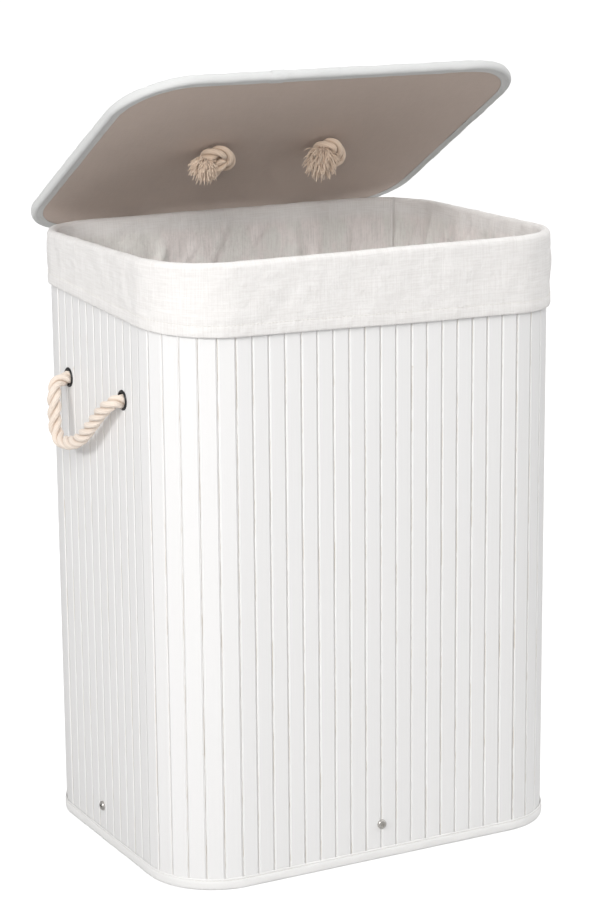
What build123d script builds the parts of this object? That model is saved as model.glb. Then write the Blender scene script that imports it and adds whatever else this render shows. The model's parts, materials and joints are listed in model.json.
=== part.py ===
"""Laundry hamper with a hinged lid: a slatted wall, a folded cotton liner, rope handles and a board base.

Millimetres. +Z is up, the front wall faces -Y, and the floor is z = 0. The origin lies below the middle
of the whole hamper with its lid standing open, so the wall's own middle is a little in front of it.
"""

import os
from math import atan2, cos, degrees, hypot, pi, radians, sin, tan

from build123d import *

# Driving dimensions: the slatted wall
WIDTH = 400.0  # over the slats' outer faces
DEPTH = 303.0
CORNER = 64.0  # corner radius of the slats' outer faces
RIM_HEIGHT = 556.0  # top of the liner where it folds over the rim
BODY_Y = -19.0  # middle of the wall, front to back
SLAT_COUNT = 82
SLAT_THICKNESS = 3.2
SLAT_GAP = 0.3
SLAT_BEVEL = 0.5

# Driving dimensions: cloth, tape and wire on the wall
BACKING = 0.6
TAPE = 0.9
TAPE_LEAF = 10.5
RIM_WIRE_RADIUS = 1.6
FIT_GAP = 0.05
SOFT_GAP = 0.3

# Driving dimensions: liner
LINER = 1.5
CUFF_FOOT = 491.0
CUFF_OUT = 3.2  # cuff's outer face beyond the slats
LINER_IN = 5.1  # liner's hidden face inside the slats' outer faces
BAG_TAPER = 7.0  # how much further in it is at the bottom
POCKET_LENGTH = 76.0  # hollows in the bag for the handles' knots
POCKET_WIDTH = 44.0
POCKET_DEPTH = 32.0
POCKET_DROP = 12.0
BUTTONHOLE = 3.0  # slack of the cuff's buttonholes round the lid straps
SEAM_TAPE_WIDTH = 30.0
SEAM_TAPE = 0.5

# Driving dimensions: base
BASE_Z = 22.0
BASE_THICKNESS = 4.0
BRACKET = 1.5
BRACKET_WIDTH = 22.0
BRACKET_REACH = 18.0
BRACKET_HEIGHT = 21.0
SCREW_Z = 32.5
SCREW_HEAD_RADIUS = 4.3
SCREW_RADIUS = 1.95
SCREW_CLEARANCE = 2.2
SCREW_HEAD = 2.4
SCREW_GRIP = 9.8
WASHER = 0.8
NUT = 3.0

# Driving dimensions: rope handles
ROPE = 11.0
HOLE_SPACING = 117.0
HANDLE_Y = 8.0
HANDLE_Z = 426.5
EYELET_RADIUS = 9.5
EYELET_BORE = 6.6
EYELET_BARREL = 7.3
SWING_OUT = 7.7  # handle's swing axis beyond the face that it hangs from
KNOT_RADIUS = 12.0
KNOT_TAIL = 30.0
FLANGE = 1.3

# Driving dimensions: lid
LID_WIDTH = 400.0
LID_DEPTH = 318.0
LID_CORNER = 65.0
LID_OPEN = 29.95  # degrees from closed, as the hamper stands
LID_SHUT_Z = 558.5  # underside of the lid's binding when it is shut
LID_BACK_Y = 188.3  # lower back edge of the open lid, from the middle of the wall
LID_BACK_Z = 540.8
LID_LINING = 0.6
LID_BOARD = 3.0
LID_SLAT = 2.6
LID_LIP = 10.0  # how far the binding laps over each face

# Driving dimensions: the lid's two cotton hinge straps
STRAP_WIDTH = 24.0
STRAP = 1.3
STRAP_X = 95.0
STRAP_PIVOT_OUT = 4.3  # lower fold line beyond the slats' outer faces
STRAP_TAIL_FOOT = 466.0
STRAP_RIVET_Z = 477.0
STRAP_TAB = 24.0
TAB_THICKNESS = 0.8
FOLD_BACK = 1.2  # upper fold line behind the lid's back edge
FOLD_DROP = 1.85  # and below the underside of its binding
TAB_GAP = 6.0  # from the upper fold line to each sewn tab
TAIL_FACE = 0.1
RIVET_WASHER = 0.6

SLAT_PITCH = (2 * (WIDTH + DEPTH - 4 * CORNER) + 2 * pi * (CORNER - SLAT_THICKNESS)) / SLAT_COUNT
SLAT_WIDTH = SLAT_PITCH - SLAT_GAP
TAPE_OUT = 0.6  # tape's inner face beyond the slats, clear of the flat corner slats
CLOTH_OUT = -SLAT_THICKNESS - FIT_GAP
CLOTH_IN = CLOTH_OUT - BACKING
INNER_LEAF = CLOTH_IN - FIT_GAP
RIM_TAPE_TOP = RIM_HEIGHT - LINER - SOFT_GAP
RIM_WIRE_Z = RIM_TAPE_TOP - TAPE - FIT_GAP - RIM_WIRE_RADIUS
SLAT_TOP = RIM_WIRE_Z - RIM_WIRE_RADIUS - FIT_GAP
SLAT_FOOT = TAPE + FIT_GAP
SIDE_SCREW_Y = SLAT_PITCH

ground = Plane(origin=(0, BODY_Y, 0))

# The open lid's own plane: x to the right, y back and down towards the hinge, z out of its top face.
open_angle = radians(LID_OPEN)
lid_plane = Plane(
    origin=(0, BODY_Y + LID_BACK_Y, LID_BACK_Z),
    x_dir=(1, 0, 0),
    z_dir=(0, sin(open_angle), cos(open_angle)),
)
LINING_Z = TAPE
BOARD_Z = LINING_Z + LID_LINING + FIT_GAP
LID_SLAT_Z = BOARD_Z + LID_BOARD + FIT_GAP
LID_TOP_Z = LID_SLAT_Z + LID_SLAT
LID_HEIGHT = LID_TOP_Z + FIT_GAP + TAPE

# The straps fold along two lines: one where they leave the wall and one at the lid's back edge.
fold_open = lid_plane.from_local_coords(Vector(0, FOLD_BACK, -FOLD_DROP))
fold_shut = Vector(0, BODY_Y + LID_DEPTH / 2 + FOLD_BACK, LID_SHUT_Z - FOLD_DROP)
fold_middle = (fold_open + fold_shut) / 2
pivot_y = BODY_Y + DEPTH / 2 + STRAP_PIVOT_OUT
pivot_slope = (fold_open.Y - fold_shut.Y) / (fold_shut.Z - fold_open.Z)
pivot_z = fold_middle.Z + (pivot_y - fold_middle.Y) * pivot_slope
strap_span = hypot(fold_open.Y - pivot_y, fold_open.Z - pivot_z)
strap_open = degrees(atan2(fold_open.Y - pivot_y, fold_open.Z - pivot_z))
strap_shut = degrees(atan2(fold_shut.Y - pivot_y, fold_shut.Z - pivot_z))
strap_swing = strap_open - strap_shut
follow_ratio = LID_OPEN / strap_swing - 1

# Each face that a rope handle hangs from: x along the holes, y down the face, z out of it.
left_face = Plane(
    origin=(-WIDTH / 2, BODY_Y + HANDLE_Y, HANDLE_Z), x_dir=(0, 1, 0), z_dir=(-1, 0, 0)
)
lid_top_face = Plane(
    origin=lid_plane.from_local_coords(Vector(0, -LID_DEPTH / 2, LID_TOP_Z)),
    x_dir=lid_plane.x_dir,
    z_dir=lid_plane.z_dir,
)

# Routes of the two kinds of handle, on those faces: along the holes, down the face, out of it.
side_route = [
    (58.5, 0, SWING_OUT),
    (58, 6, 23),
    (54, 30, 29),
    (46, 52, 27),
    (24, 59, 25),
    (-4, 50, 25),
    (-29, 31, 24),
    (-50, 9, 20),
    (-58.5, 0, SWING_OUT),
]
lid_route = [
    (58.5, 0, SWING_OUT),
    (58.5, 7, 19),
    (54, 27, 14),
    (40, 46, 8.5),
    (14, 55, 7),
    (-14, 54, 7),
    (-41, 44, 8.5),
    (-55, 25, 14),
    (-58.5, 7, 19),
    (-58.5, 0, SWING_OUT),
]


def wall_band(outside, inside, low, high):
    """A band that follows the wall between two offsets from the slats' outer faces."""
    with BuildPart() as band:
        with BuildSketch(ground.offset(low)):
            RectangleRounded(WIDTH + 2 * outside, DEPTH + 2 * outside, CORNER + outside)
            RectangleRounded(
                WIDTH + 2 * inside, DEPTH + 2 * inside, CORNER + inside, mode=Mode.SUBTRACT
            )
        extrude(amount=high - low)
    return band.part


def slat_place(distance):
    """The plane of a slat whose middle is that far round the backing from the front's middle."""
    radius = CORNER - SLAT_THICKNESS
    runs = [WIDTH / 2 - CORNER, DEPTH - 2 * CORNER, WIDTH - 2 * CORNER, DEPTH - 2 * CORNER]
    corners = [(1, -1), (1, 1), (-1, 1), (-1, -1)]
    heading = 0.0
    x, y = 0.0, -DEPTH / 2 + SLAT_THICKNESS
    left = distance
    for run, (side_x, side_y) in zip(runs, corners):
        if left <= run:
            break
        left -= run
        if left <= radius * pi / 2:
            heading += left / radius
            centre_x = side_x * (WIDTH / 2 - CORNER)
            centre_y = side_y * (DEPTH / 2 - CORNER)
            x = centre_x + radius * sin(heading)
            y = centre_y - radius * cos(heading)
            left = 0.0
            break
        left -= radius * pi / 2
        heading += pi / 2
        x = side_x * (WIDTH / 2 - CORNER) + radius * sin(heading)
        y = side_y * (DEPTH / 2 - CORNER) - radius * cos(heading)
    x += left * cos(heading)
    y += left * sin(heading)
    return Plane(
        origin=(x, BODY_Y + y, SLAT_FOOT), x_dir=(cos(heading), sin(heading), 0), z_dir=(0, 0, 1)
    )


def slat_group(label, first, count, cuts=None, flare=0.0):
    """Neighbouring slats of the wall as separate solids, from slat number first on. flare is how much wider
    they are at each side of the outer face than at the cloth."""
    outer = SLAT_WIDTH / 2 + flare
    with BuildPart() as slats:
        for number in range(first, first + count):
            place = slat_place(((number + 0.5) % SLAT_COUNT) * SLAT_PITCH)
            with BuildSketch(place):
                with BuildLine():
                    Polyline(
                        (-SLAT_WIDTH / 2, 0),
                        (-outer, SLAT_BEVEL - SLAT_THICKNESS),
                        (SLAT_BEVEL - outer, -SLAT_THICKNESS),
                        (outer - SLAT_BEVEL, -SLAT_THICKNESS),
                        (outer, SLAT_BEVEL - SLAT_THICKNESS),
                        (SLAT_WIDTH / 2, 0),
                        close=True,
                    )
                make_face()
            extrude(amount=SLAT_TOP - SLAT_FOOT)
        if cuts:
            add(cuts, mode=Mode.SUBTRACT)
    slats.part.label = label
    return slats


def rods(places, radius, length):
    """Round bars along each place's z axis, centred on it."""
    with BuildPart() as bars:
        for place in places:
            with BuildSketch(place.offset(-length / 2)):
                Circle(radius)
            extrude(amount=length)
    return bars.part


def wall_places(pairs):
    """Planes on the slats' outer faces, z outwards, at each wall position and height."""
    places = []
    for wall, along, height in pairs:
        if wall == "front":
            places.append(Plane((along, BODY_Y - DEPTH / 2, height), (1, 0, 0), (0, -1, 0)))
        if wall == "back":
            places.append(Plane((along, BODY_Y + DEPTH / 2, height), (-1, 0, 0), (0, 1, 0)))
        if wall == "left":
            places.append(Plane((-WIDTH / 2, BODY_Y + along, height), (0, -1, 0), (-1, 0, 0)))
        if wall == "right":
            places.append(Plane((WIDTH / 2, BODY_Y + along, height), (0, 1, 0), (1, 0, 0)))
    return places


base_places = wall_places(
    [
        ("front", 0, SCREW_Z),
        ("back", 0, SCREW_Z),
        ("left", SIDE_SCREW_Y, SCREW_Z),
        ("right", SIDE_SCREW_Y, SCREW_Z),
    ]
)
strap_places = wall_places([("back", -STRAP_X, STRAP_RIVET_Z), ("back", STRAP_X, STRAP_RIVET_Z)])
left_holes = wall_places(
    [
        ("left", HANDLE_Y + HOLE_SPACING / 2, HANDLE_Z),
        ("left", HANDLE_Y - HOLE_SPACING / 2, HANDLE_Z),
    ]
)
lid_holes = [
    Plane(
        origin=lid_top_face.from_local_coords(Vector(side * HOLE_SPACING / 2, 0, 0)),
        x_dir=lid_plane.x_dir,
        z_dir=lid_plane.z_dir,
    )
    for side in (-1, 1)
]

WALL_CUT = 30.0
screw_cuts = rods(base_places + strap_places, SCREW_CLEARANCE, WALL_CUT)
left_eyelet_cuts = rods(left_holes, EYELET_BARREL + FIT_GAP, WALL_CUT)
right_eyelet_cuts = mirror(left_eyelet_cuts, about=Plane.YZ)
lid_eyelet_cuts = rods(lid_holes, EYELET_BARREL + FIT_GAP, WALL_CUT)

# Slatted wall: four faces and four rounded corners
FRONT_SLATS = 18
SIDE_SLATS = 11
CORNER_SLATS = 6
first_front_right = FRONT_SLATS // 2
first_right = first_front_right + CORNER_SLATS
first_back_right = first_right + SIDE_SLATS
first_back = first_back_right + CORNER_SLATS
first_back_left = first_back + FRONT_SLATS
first_left = first_back_left + CORNER_SLATS
first_front_left = first_left + SIDE_SLATS
CORNER_FLARE = SLAT_THICKNESS * tan(SLAT_PITCH / (CORNER - SLAT_THICKNESS) / 2)

front_slats = slat_group("front_slats", -FRONT_SLATS // 2, FRONT_SLATS, screw_cuts)
front_right_slats = slat_group("front_right_corner_slats", first_front_right, CORNER_SLATS, None, CORNER_FLARE)
right_slats = slat_group(
    "right_slats", first_right, SIDE_SLATS, [*screw_cuts.solids(), *right_eyelet_cuts.solids()]
)
back_right_slats = slat_group("back_right_corner_slats", first_back_right, CORNER_SLATS, None, CORNER_FLARE)
back_slats = slat_group("back_slats", first_back, FRONT_SLATS, screw_cuts)
back_left_slats = slat_group("back_left_corner_slats", first_back_left, CORNER_SLATS, None, CORNER_FLARE)
left_slats = slat_group(
    "left_slats", first_left, SIDE_SLATS, [*screw_cuts.solids(), *left_eyelet_cuts.solids()]
)
front_left_slats = slat_group("front_left_corner_slats", first_front_left, CORNER_SLATS, None, CORNER_FLARE)

# Cloth that the slats are glued to, with a tape over the seam where its ends meet at the back
with BuildPart() as wall_backing:
    add(wall_band(CLOTH_OUT, CLOTH_IN, SLAT_FOOT, SLAT_TOP))
    add(screw_cuts, mode=Mode.SUBTRACT)
    add(left_eyelet_cuts, mode=Mode.SUBTRACT)
    add(right_eyelet_cuts, mode=Mode.SUBTRACT)
wall_backing.part.label = "wall_backing"

with BuildPart() as wall_seam_tape:
    seam_y = DEPTH / 2 + CLOTH_IN - FIT_GAP - SEAM_TAPE / 2
    with BuildSketch(ground.offset(SLAT_FOOT + 2 * BRACKET_HEIGHT)):
        with Locations((0, seam_y)):
            Rectangle(SEAM_TAPE_WIDTH, SEAM_TAPE)
    extrude(amount=SLAT_TOP - SLAT_FOOT - 2 * BRACKET_HEIGHT - 2 * TAPE_LEAF)
wall_seam_tape.part.label = "wall_seam_tape"

# Cotton tape folded over the wall's bottom and top edges, and the steel wire inside the top one
with BuildPart() as bottom_binding:
    add(wall_band(TAPE_OUT + TAPE, INNER_LEAF - TAPE, 0, TAPE_LEAF))
    add(wall_band(TAPE_OUT, INNER_LEAF, TAPE, TAPE_LEAF), mode=Mode.SUBTRACT)
bottom_binding.part.label = "bottom_binding"

rim_tape_foot = RIM_TAPE_TOP - TAPE_LEAF
with BuildPart() as top_binding:
    add(wall_band(TAPE_OUT + TAPE, INNER_LEAF - TAPE, rim_tape_foot, RIM_TAPE_TOP))
    add(wall_band(TAPE_OUT, INNER_LEAF, rim_tape_foot, RIM_TAPE_TOP - TAPE), mode=Mode.SUBTRACT)
top_binding.part.label = "top_binding"

with BuildPart() as rim_wire:
    wire_in = SLAT_THICKNESS / 2
    with BuildLine() as wire_line:
        with BuildSketch(ground.offset(RIM_WIRE_Z), mode=Mode.PRIVATE) as wire_shape:
            RectangleRounded(WIDTH - 2 * wire_in, DEPTH - 2 * wire_in, CORNER - wire_in)
        add(wire_shape.sketch.face().outer_wire())
    with BuildSketch(Plane(origin=wire_line.wire() @ 0, z_dir=wire_line.wire() % 0)):
        Circle(RIM_WIRE_RADIUS)
    sweep(path=wire_line.wire())
rim_wire.part.label = "rim_wire"

# Base: a plywood panel on four angle brackets, each held to the wall by a screw, washer and nut
PANEL_IN = CLOTH_IN - FIT_GAP - BRACKET - 0.5
with BuildPart() as base_panel:
    with BuildSketch(ground.offset(BASE_Z)):
        RectangleRounded(WIDTH + 2 * PANEL_IN, DEPTH + 2 * PANEL_IN, CORNER + PANEL_IN)
    extrude(amount=BASE_THICKNESS)
    fillet(base_panel.faces().sort_by(Axis.Z)[-1].edges(), 0.8)
base_panel.part.label = "base_panel"

with BuildPart() as base_brackets:
    leg_out = CLOTH_IN - FIT_GAP
    for place in base_places:
        side = Plane(origin=place.origin, x_dir=place.z_dir, z_dir=place.z_dir.cross(Vector(0, 0, 1)))
        low = BASE_Z - FIT_GAP - BRACKET - SCREW_Z
        with BuildSketch(side.offset(-BRACKET_WIDTH / 2)):
            with BuildLine():
                Polyline(
                    (leg_out, low),
                    (leg_out, low + BRACKET_HEIGHT),
                    (leg_out - BRACKET, low + BRACKET_HEIGHT),
                    (leg_out - BRACKET, low + BRACKET),
                    (leg_out - BRACKET_REACH, low + BRACKET),
                    (leg_out - BRACKET_REACH, low),
                    close=True,
                )
            make_face()
        extrude(amount=BRACKET_WIDTH)
    add(screw_cuts, mode=Mode.SUBTRACT)
base_brackets.part.label = "base_brackets"


def screw_set(label, places, seat, grip):
    """Pan-head screws whose heads sit at seat and whose shanks reach in past grip."""
    with BuildPart() as screws:
        for place in places:
            with BuildSketch(place.offset(seat)):
                Circle(SCREW_HEAD_RADIUS)
            extrude(amount=SCREW_HEAD)
        rim_edges = screws.edges().filter_by(GeomType.CIRCLE)
        fillet([edge for edge in rim_edges if is_outer(edge, places, seat + SCREW_HEAD)], 1.5)
        for place in places:
            with BuildSketch(place.offset(seat + SCREW_HEAD)):
                Rectangle(4.6, 0.9)
                Rectangle(0.9, 4.6)
            extrude(amount=-1.1, mode=Mode.SUBTRACT)
            with BuildSketch(place.offset(seat)):
                Circle(SCREW_RADIUS)
            extrude(amount=-(seat + grip))
    screws.part.label = label
    return screws


def is_outer(edge, places, height):
    """Whether a head's round edge is centred at that height over one of the places."""
    return any((edge.arc_center - place.offset(height).origin).length < 0.01 for place in places)


def washer_set(label, places, inner_face, radius, bore, thickness, sides=0):
    """Flat rings, or hexagons, whose outward faces lie at inner_face inside the slats' faces."""
    with BuildPart() as rings:
        for place in places:
            with BuildSketch(place.offset(inner_face)):
                if sides:
                    RegularPolygon(radius, sides)
                else:
                    Circle(radius)
                Circle(bore, mode=Mode.SUBTRACT)
            extrude(amount=-thickness)
    rings.part.label = label
    return rings


base_screws = screw_set("base_screws", base_places, FIT_GAP, SCREW_GRIP)
bracket_face = CLOTH_IN - FIT_GAP - BRACKET - FIT_GAP
base_washers = washer_set("base_washers", base_places, bracket_face, 4.6, 2.1, WASHER)
base_nuts = washer_set(
    "base_nuts", base_places, bracket_face - WASHER - FIT_GAP, 3.9, 2.0, NUT, sides=6
)

# Lid straps: tails riveted to the back wall, moving spans, and tabs sewn under the lid's edge
with BuildPart() as strap_tails:
    back_y = BODY_Y + DEPTH / 2
    tail_top = pivot_z + STRAP / 2
    tail_end = STRAP_PIVOT_OUT - STRAP / 2 - 0.4
    for side in (-1, 1):
        section = Plane(origin=(side * STRAP_X, back_y, 0), x_dir=(0, 1, 0), z_dir=(1, 0, 0))
        with BuildSketch(section.offset(-STRAP_WIDTH / 2)):
            with BuildLine():
                Polyline(
                    (TAIL_FACE, STRAP_TAIL_FOOT),
                    (TAIL_FACE + STRAP, STRAP_TAIL_FOOT),
                    (TAIL_FACE + STRAP, tail_top - STRAP),
                    (tail_end, tail_top - STRAP),
                    (tail_end, tail_top),
                    (TAIL_FACE, tail_top),
                    close=True,
                )
            make_face()
        extrude(amount=STRAP_WIDTH)
    add(screw_cuts, mode=Mode.SUBTRACT)
strap_tails.part.label = "strap_tails"

cloth_face = CLOTH_IN - FIT_GAP
strap_washers = washer_set("strap_washers", strap_places, cloth_face, 6.0, 2.1, RIVET_WASHER)

with BuildPart() as strap_rivets:
    rivet_seat = TAIL_FACE + STRAP + FIT_GAP
    rivet_back = cloth_face - RIVET_WASHER - FIT_GAP
    for place in strap_places:
        section = Plane(origin=place.origin, x_dir=place.x_dir, z_dir=-place.y_dir)
        with BuildSketch(section):
            with BuildLine():
                Polyline(
                    (0, rivet_seat + 1.7),
                    (2.2, rivet_seat + 1.4),
                    (4.2, rivet_seat),
                    (SCREW_RADIUS, rivet_seat),
                    (SCREW_RADIUS, rivet_back),
                    (3.6, rivet_back),
                    (3.2, rivet_back - 0.8),
                    (0, rivet_back - 1.0),
                    close=True,
                )
            make_face()
        revolve(axis=Axis(place.origin, place.z_dir))
strap_rivets.part.label = "strap_rivets"

with BuildPart() as hinge_straps:
    swing_dir = Vector(0, fold_open.Y - pivot_y, fold_open.Z - pivot_z).normalized()
    for side in (-1, 1):
        section = Plane(
            origin=(side * STRAP_X, pivot_y, pivot_z), x_dir=swing_dir, z_dir=(1, 0, 0)
        )
        with BuildSketch(section.offset(-STRAP_WIDTH / 2)):
            with Locations((strap_span / 2, 0)):
                SlotCenterToCenter(strap_span, STRAP)
        extrude(amount=STRAP_WIDTH)
hinge_straps.part.label = "hinge_straps"

with BuildPart() as strap_tabs:
    for side in (-1, 1):
        with BuildSketch(lid_plane.offset(-TAB_THICKNESS)):
            with Locations((side * STRAP_X, FOLD_BACK - TAB_GAP - STRAP_TAB / 2)):
                Rectangle(STRAP_WIDTH, STRAP_TAB)
        extrude(amount=TAB_THICKNESS - FIT_GAP)
strap_tabs.part.label = "strap_tabs"


def eyelet_set(label, places, far_face):
    """Two-part eyelets: a barrel with a rolled flange on each side of the sheet it is set in."""
    with BuildPart() as eyelets:
        for place in places:
            section = Plane(origin=place.origin, x_dir=place.x_dir, z_dir=-place.y_dir)
            with BuildSketch(section):
                with BuildLine():
                    Polyline(
                        (EYELET_BORE, FLANGE - 0.2),
                        (EYELET_BORE + 0.6, FLANGE),
                        (EYELET_RADIUS - 1.0, FLANGE),
                        (EYELET_RADIUS, FIT_GAP + 0.3),
                        (EYELET_RADIUS, FIT_GAP),
                        (EYELET_BARREL, FIT_GAP),
                        (EYELET_BARREL, far_face - FIT_GAP),
                        (EYELET_RADIUS, far_face - FIT_GAP),
                        (EYELET_RADIUS - 0.4, far_face - FLANGE),
                        (EYELET_BORE, far_face - FLANGE),
                        close=True,
                    )
                make_face()
            revolve(axis=Axis(place.origin, place.z_dir))
    eyelets.part.label = label
    return eyelets


def arc_radii(points):
    """The radius of the arc at each corner of a limp route, as large as its two runs allow."""
    radii = []
    for before, corner, after in zip(points, points[1:], points[2:]):
        run_in = corner - before
        run_out = after - corner
        half_turn = radians(run_in.get_angle(run_out)) / 2
        radii.append(0.45 * min(run_in.length, run_out.length) / tan(half_turn))
    return radii


def rope_handle(label, face, route):
    """A rope loop with a round end at each point where it starts to swing."""
    points = [face.from_local_coords(Vector(*point)) for point in route]
    radii = arc_radii(points)
    with BuildPart() as rope:
        with BuildLine() as line:
            FilletPolyline(*points, radius=radii)
        with BuildSketch(Plane(origin=points[0], z_dir=line.wire() % 0)):
            Circle(ROPE / 2)
        sweep(path=line.wire())
        tube = rope.part.volume
        with Locations(points[0], points[-1]):
            Sphere(ROPE / 2)
    length = line.wire().length
    share = tube / (length * pi * ROPE**2 / 4)
    print(label, "length", round(length, 1), "radii", [round(r, 1) for r in radii], round(share, 4))
    rope.part.label = label
    return rope


def rope_knots(label, places, far_face, down):
    """Overhand knots behind the eyelets, with the stub that fills each bore and a hanging tail."""
    stub_out = SWING_OUT - ROPE / 2 - SOFT_GAP
    knot_depth = far_face - FLANGE - SOFT_GAP - KNOT_RADIUS
    with BuildPart() as knots:
        for place in places:
            with BuildSketch(place.offset(knot_depth)):
                Circle(ROPE / 2)
            extrude(amount=stub_out - knot_depth)
            centre = place.origin + place.z_dir * knot_depth
            with Locations(centre):
                Sphere(KNOT_RADIUS)
            with BuildSketch(Plane(origin=centre, z_dir=down)):
                Circle(ROPE / 2)
            extrude(amount=KNOT_TAIL, taper=-6)
    knots.part.label = label
    return knots


# Side handles
left_handle_eyelets = eyelet_set("left_handle_eyelets", left_holes, CLOTH_IN)
left_handle_rope = rope_handle("left_handle_rope", left_face, side_route)
left_handle_knots = rope_knots("left_handle_knots", left_holes, CLOTH_IN, (0, 0, -1))

with BuildPart() as right_handle_eyelets:
    mirror(left_handle_eyelets.part, about=Plane.YZ)
right_handle_eyelets.part.label = "right_handle_eyelets"

with BuildPart() as right_handle_rope:
    mirror(left_handle_rope.part, about=Plane.YZ)
right_handle_rope.part.label = "right_handle_rope"

with BuildPart() as right_handle_knots:
    mirror(left_handle_knots.part, about=Plane.YZ)
right_handle_knots.part.label = "right_handle_knots"

# Liner: a bag inside the wall, folded over the rim into a cuff, with room for the handle knots
bag_foot = BASE_Z + BASE_THICKNESS + SOFT_GAP


def bag_shape(inside, low, high):
    """A solid of the bag's shape, drawn in by inside at the top and a little more at the bottom."""
    with BuildPart() as bag:
        for drawn_in, height in ((inside + BAG_TAPER, low), (inside, high)):
            with BuildSketch(ground.offset(height)):
                RectangleRounded(WIDTH - 2 * drawn_in, DEPTH - 2 * drawn_in, CORNER - drawn_in)
        loft(ruled=True)
    return bag.part


def bag_pocket(hole, leaf):
    """A round-ended block behind an eyelet, drawn in by leaf all round."""
    middle = Plane(hole.origin - Vector(0, 0, POCKET_DROP), (0, 0, 1), hole.z_dir)
    with BuildPart() as pocket:
        with BuildSketch(middle.offset(-LINER_IN)):
            SlotOverall(POCKET_LENGTH - 2 * leaf, POCKET_WIDTH - 2 * leaf)
        extrude(amount=LINER_IN - POCKET_DEPTH + leaf)
    return pocket.part


with BuildPart() as liner:
    add(wall_band(CUFF_OUT, -LINER_IN - LINER, CUFF_FOOT, RIM_HEIGHT))
    fillet(liner.edges().group_by(Axis.Z)[-1], 1.2)
    hollow = CUFF_OUT - LINER
    with BuildSketch(ground.offset(CUFF_FOOT)):
        RectangleRounded(WIDTH + 2 * hollow, DEPTH + 2 * hollow, CORNER + hollow)
    extrude(amount=RIM_HEIGHT - LINER - CUFF_FOOT, mode=Mode.SUBTRACT)
    add(bag_shape(LINER_IN, bag_foot, RIM_HEIGHT - LINER / 2))
    add(bag_shape(LINER_IN + LINER, bag_foot + LINER, RIM_HEIGHT), mode=Mode.SUBTRACT)
    holes = left_holes + [
        Plane(Vector(-hole.origin.X, hole.origin.Y, hole.origin.Z), (0, 1, 0), (1, 0, 0))
        for hole in left_holes
    ]
    for hole in holes:
        add(bag_pocket(hole, 0))
    for hole in holes:
        add(bag_pocket(hole, LINER), mode=Mode.SUBTRACT)
    for side in (-1, 1):
        slot = Plane((side * STRAP_X, BODY_Y + DEPTH / 2, pivot_z), (1, 0, 0), (0, 1, 0))
        with BuildSketch(slot):
            Rectangle(STRAP_WIDTH + BUTTONHOLE, 3 * BUTTONHOLE)
        extrude(amount=CUFF_OUT + 1, mode=Mode.SUBTRACT)
liner.part.label = "liner"

# Lid: slats on a board, a lining under it, and a tape binding round the edge
core_in = TAPE + FIT_GAP


def lid_sheet(inside, low, thickness):
    """A sheet of the lid's outline drawn in by inside, low above the lid's underside."""
    with BuildPart() as sheet:
        with BuildSketch(lid_plane.offset(low)):
            with Locations((0, -LID_DEPTH / 2)):
                RectangleRounded(
                    LID_WIDTH - 2 * inside, LID_DEPTH - 2 * inside, LID_CORNER - inside
                )
        extrude(amount=thickness)
    return sheet.part


with BuildPart() as lid_lining:
    add(lid_sheet(core_in, LINING_Z, LID_LINING))
    add(lid_eyelet_cuts, mode=Mode.SUBTRACT)
lid_lining.part.label = "lid_lining"

with BuildPart() as lid_board:
    add(lid_sheet(core_in, BOARD_Z, LID_BOARD))
    add(lid_eyelet_cuts, mode=Mode.SUBTRACT)
lid_board.part.label = "lid_board"

LID_SLAT_COUNT = 26
lid_slat_pitch = (LID_WIDTH - 2 * core_in) / LID_SLAT_COUNT
with BuildPart() as lid_slats:
    with BuildSketch(lid_plane.offset(LID_SLAT_Z)):
        with Locations((0, -LID_DEPTH / 2)):
            with GridLocations(lid_slat_pitch, 1, LID_SLAT_COUNT, 1):
                Rectangle(lid_slat_pitch - SLAT_GAP, LID_DEPTH)
            RectangleRounded(
                LID_WIDTH - 2 * core_in,
                LID_DEPTH - 2 * core_in,
                LID_CORNER - core_in,
                mode=Mode.INTERSECT,
            )
    extrude(amount=LID_SLAT)
    add(lid_eyelet_cuts, mode=Mode.SUBTRACT)
lid_slats.part.label = "lid_slats"

with BuildPart() as lid_binding:
    add(lid_sheet(0, 0, LID_HEIGHT))
    fillet(lid_binding.faces().filter_by(lid_plane).edges(), 0.85)
    add(lid_sheet(TAPE, TAPE - FIT_GAP, LID_HEIGHT - 2 * TAPE + 2 * FIT_GAP), mode=Mode.SUBTRACT)
    add(lid_sheet(LID_LIP, -1, LID_HEIGHT + 2), mode=Mode.SUBTRACT)
lid_binding.part.label = "lid_binding"

lid_back = LINING_Z - LID_TOP_Z
lid_eyelets = eyelet_set("lid_eyelets", lid_holes, lid_back)
lid_handle_rope = rope_handle("lid_handle_rope", lid_top_face, lid_route)
lid_knots = rope_knots("lid_knots", lid_holes, lid_back, (0, 0.25, -1))

os.makedirs("parts", exist_ok=True)
pieces = [
    front_slats,
    front_right_slats,
    right_slats,
    back_right_slats,
    back_slats,
    back_left_slats,
    left_slats,
    front_left_slats,
    wall_backing,
    wall_seam_tape,
    bottom_binding,
    top_binding,
    rim_wire,
    base_panel,
    base_brackets,
    base_screws,
    base_washers,
    base_nuts,
    strap_tails,
    strap_rivets,
    strap_washers,
    hinge_straps,
    strap_tabs,
    left_handle_eyelets,
    left_handle_rope,
    left_handle_knots,
    right_handle_eyelets,
    right_handle_rope,
    right_handle_knots,
    liner,
    lid_lining,
    lid_board,
    lid_slats,
    lid_binding,
    lid_eyelets,
    lid_handle_rope,
    lid_knots,
]
for piece in pieces:
    export_step(piece.part, f"parts/{piece.part.label}.step")

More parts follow.
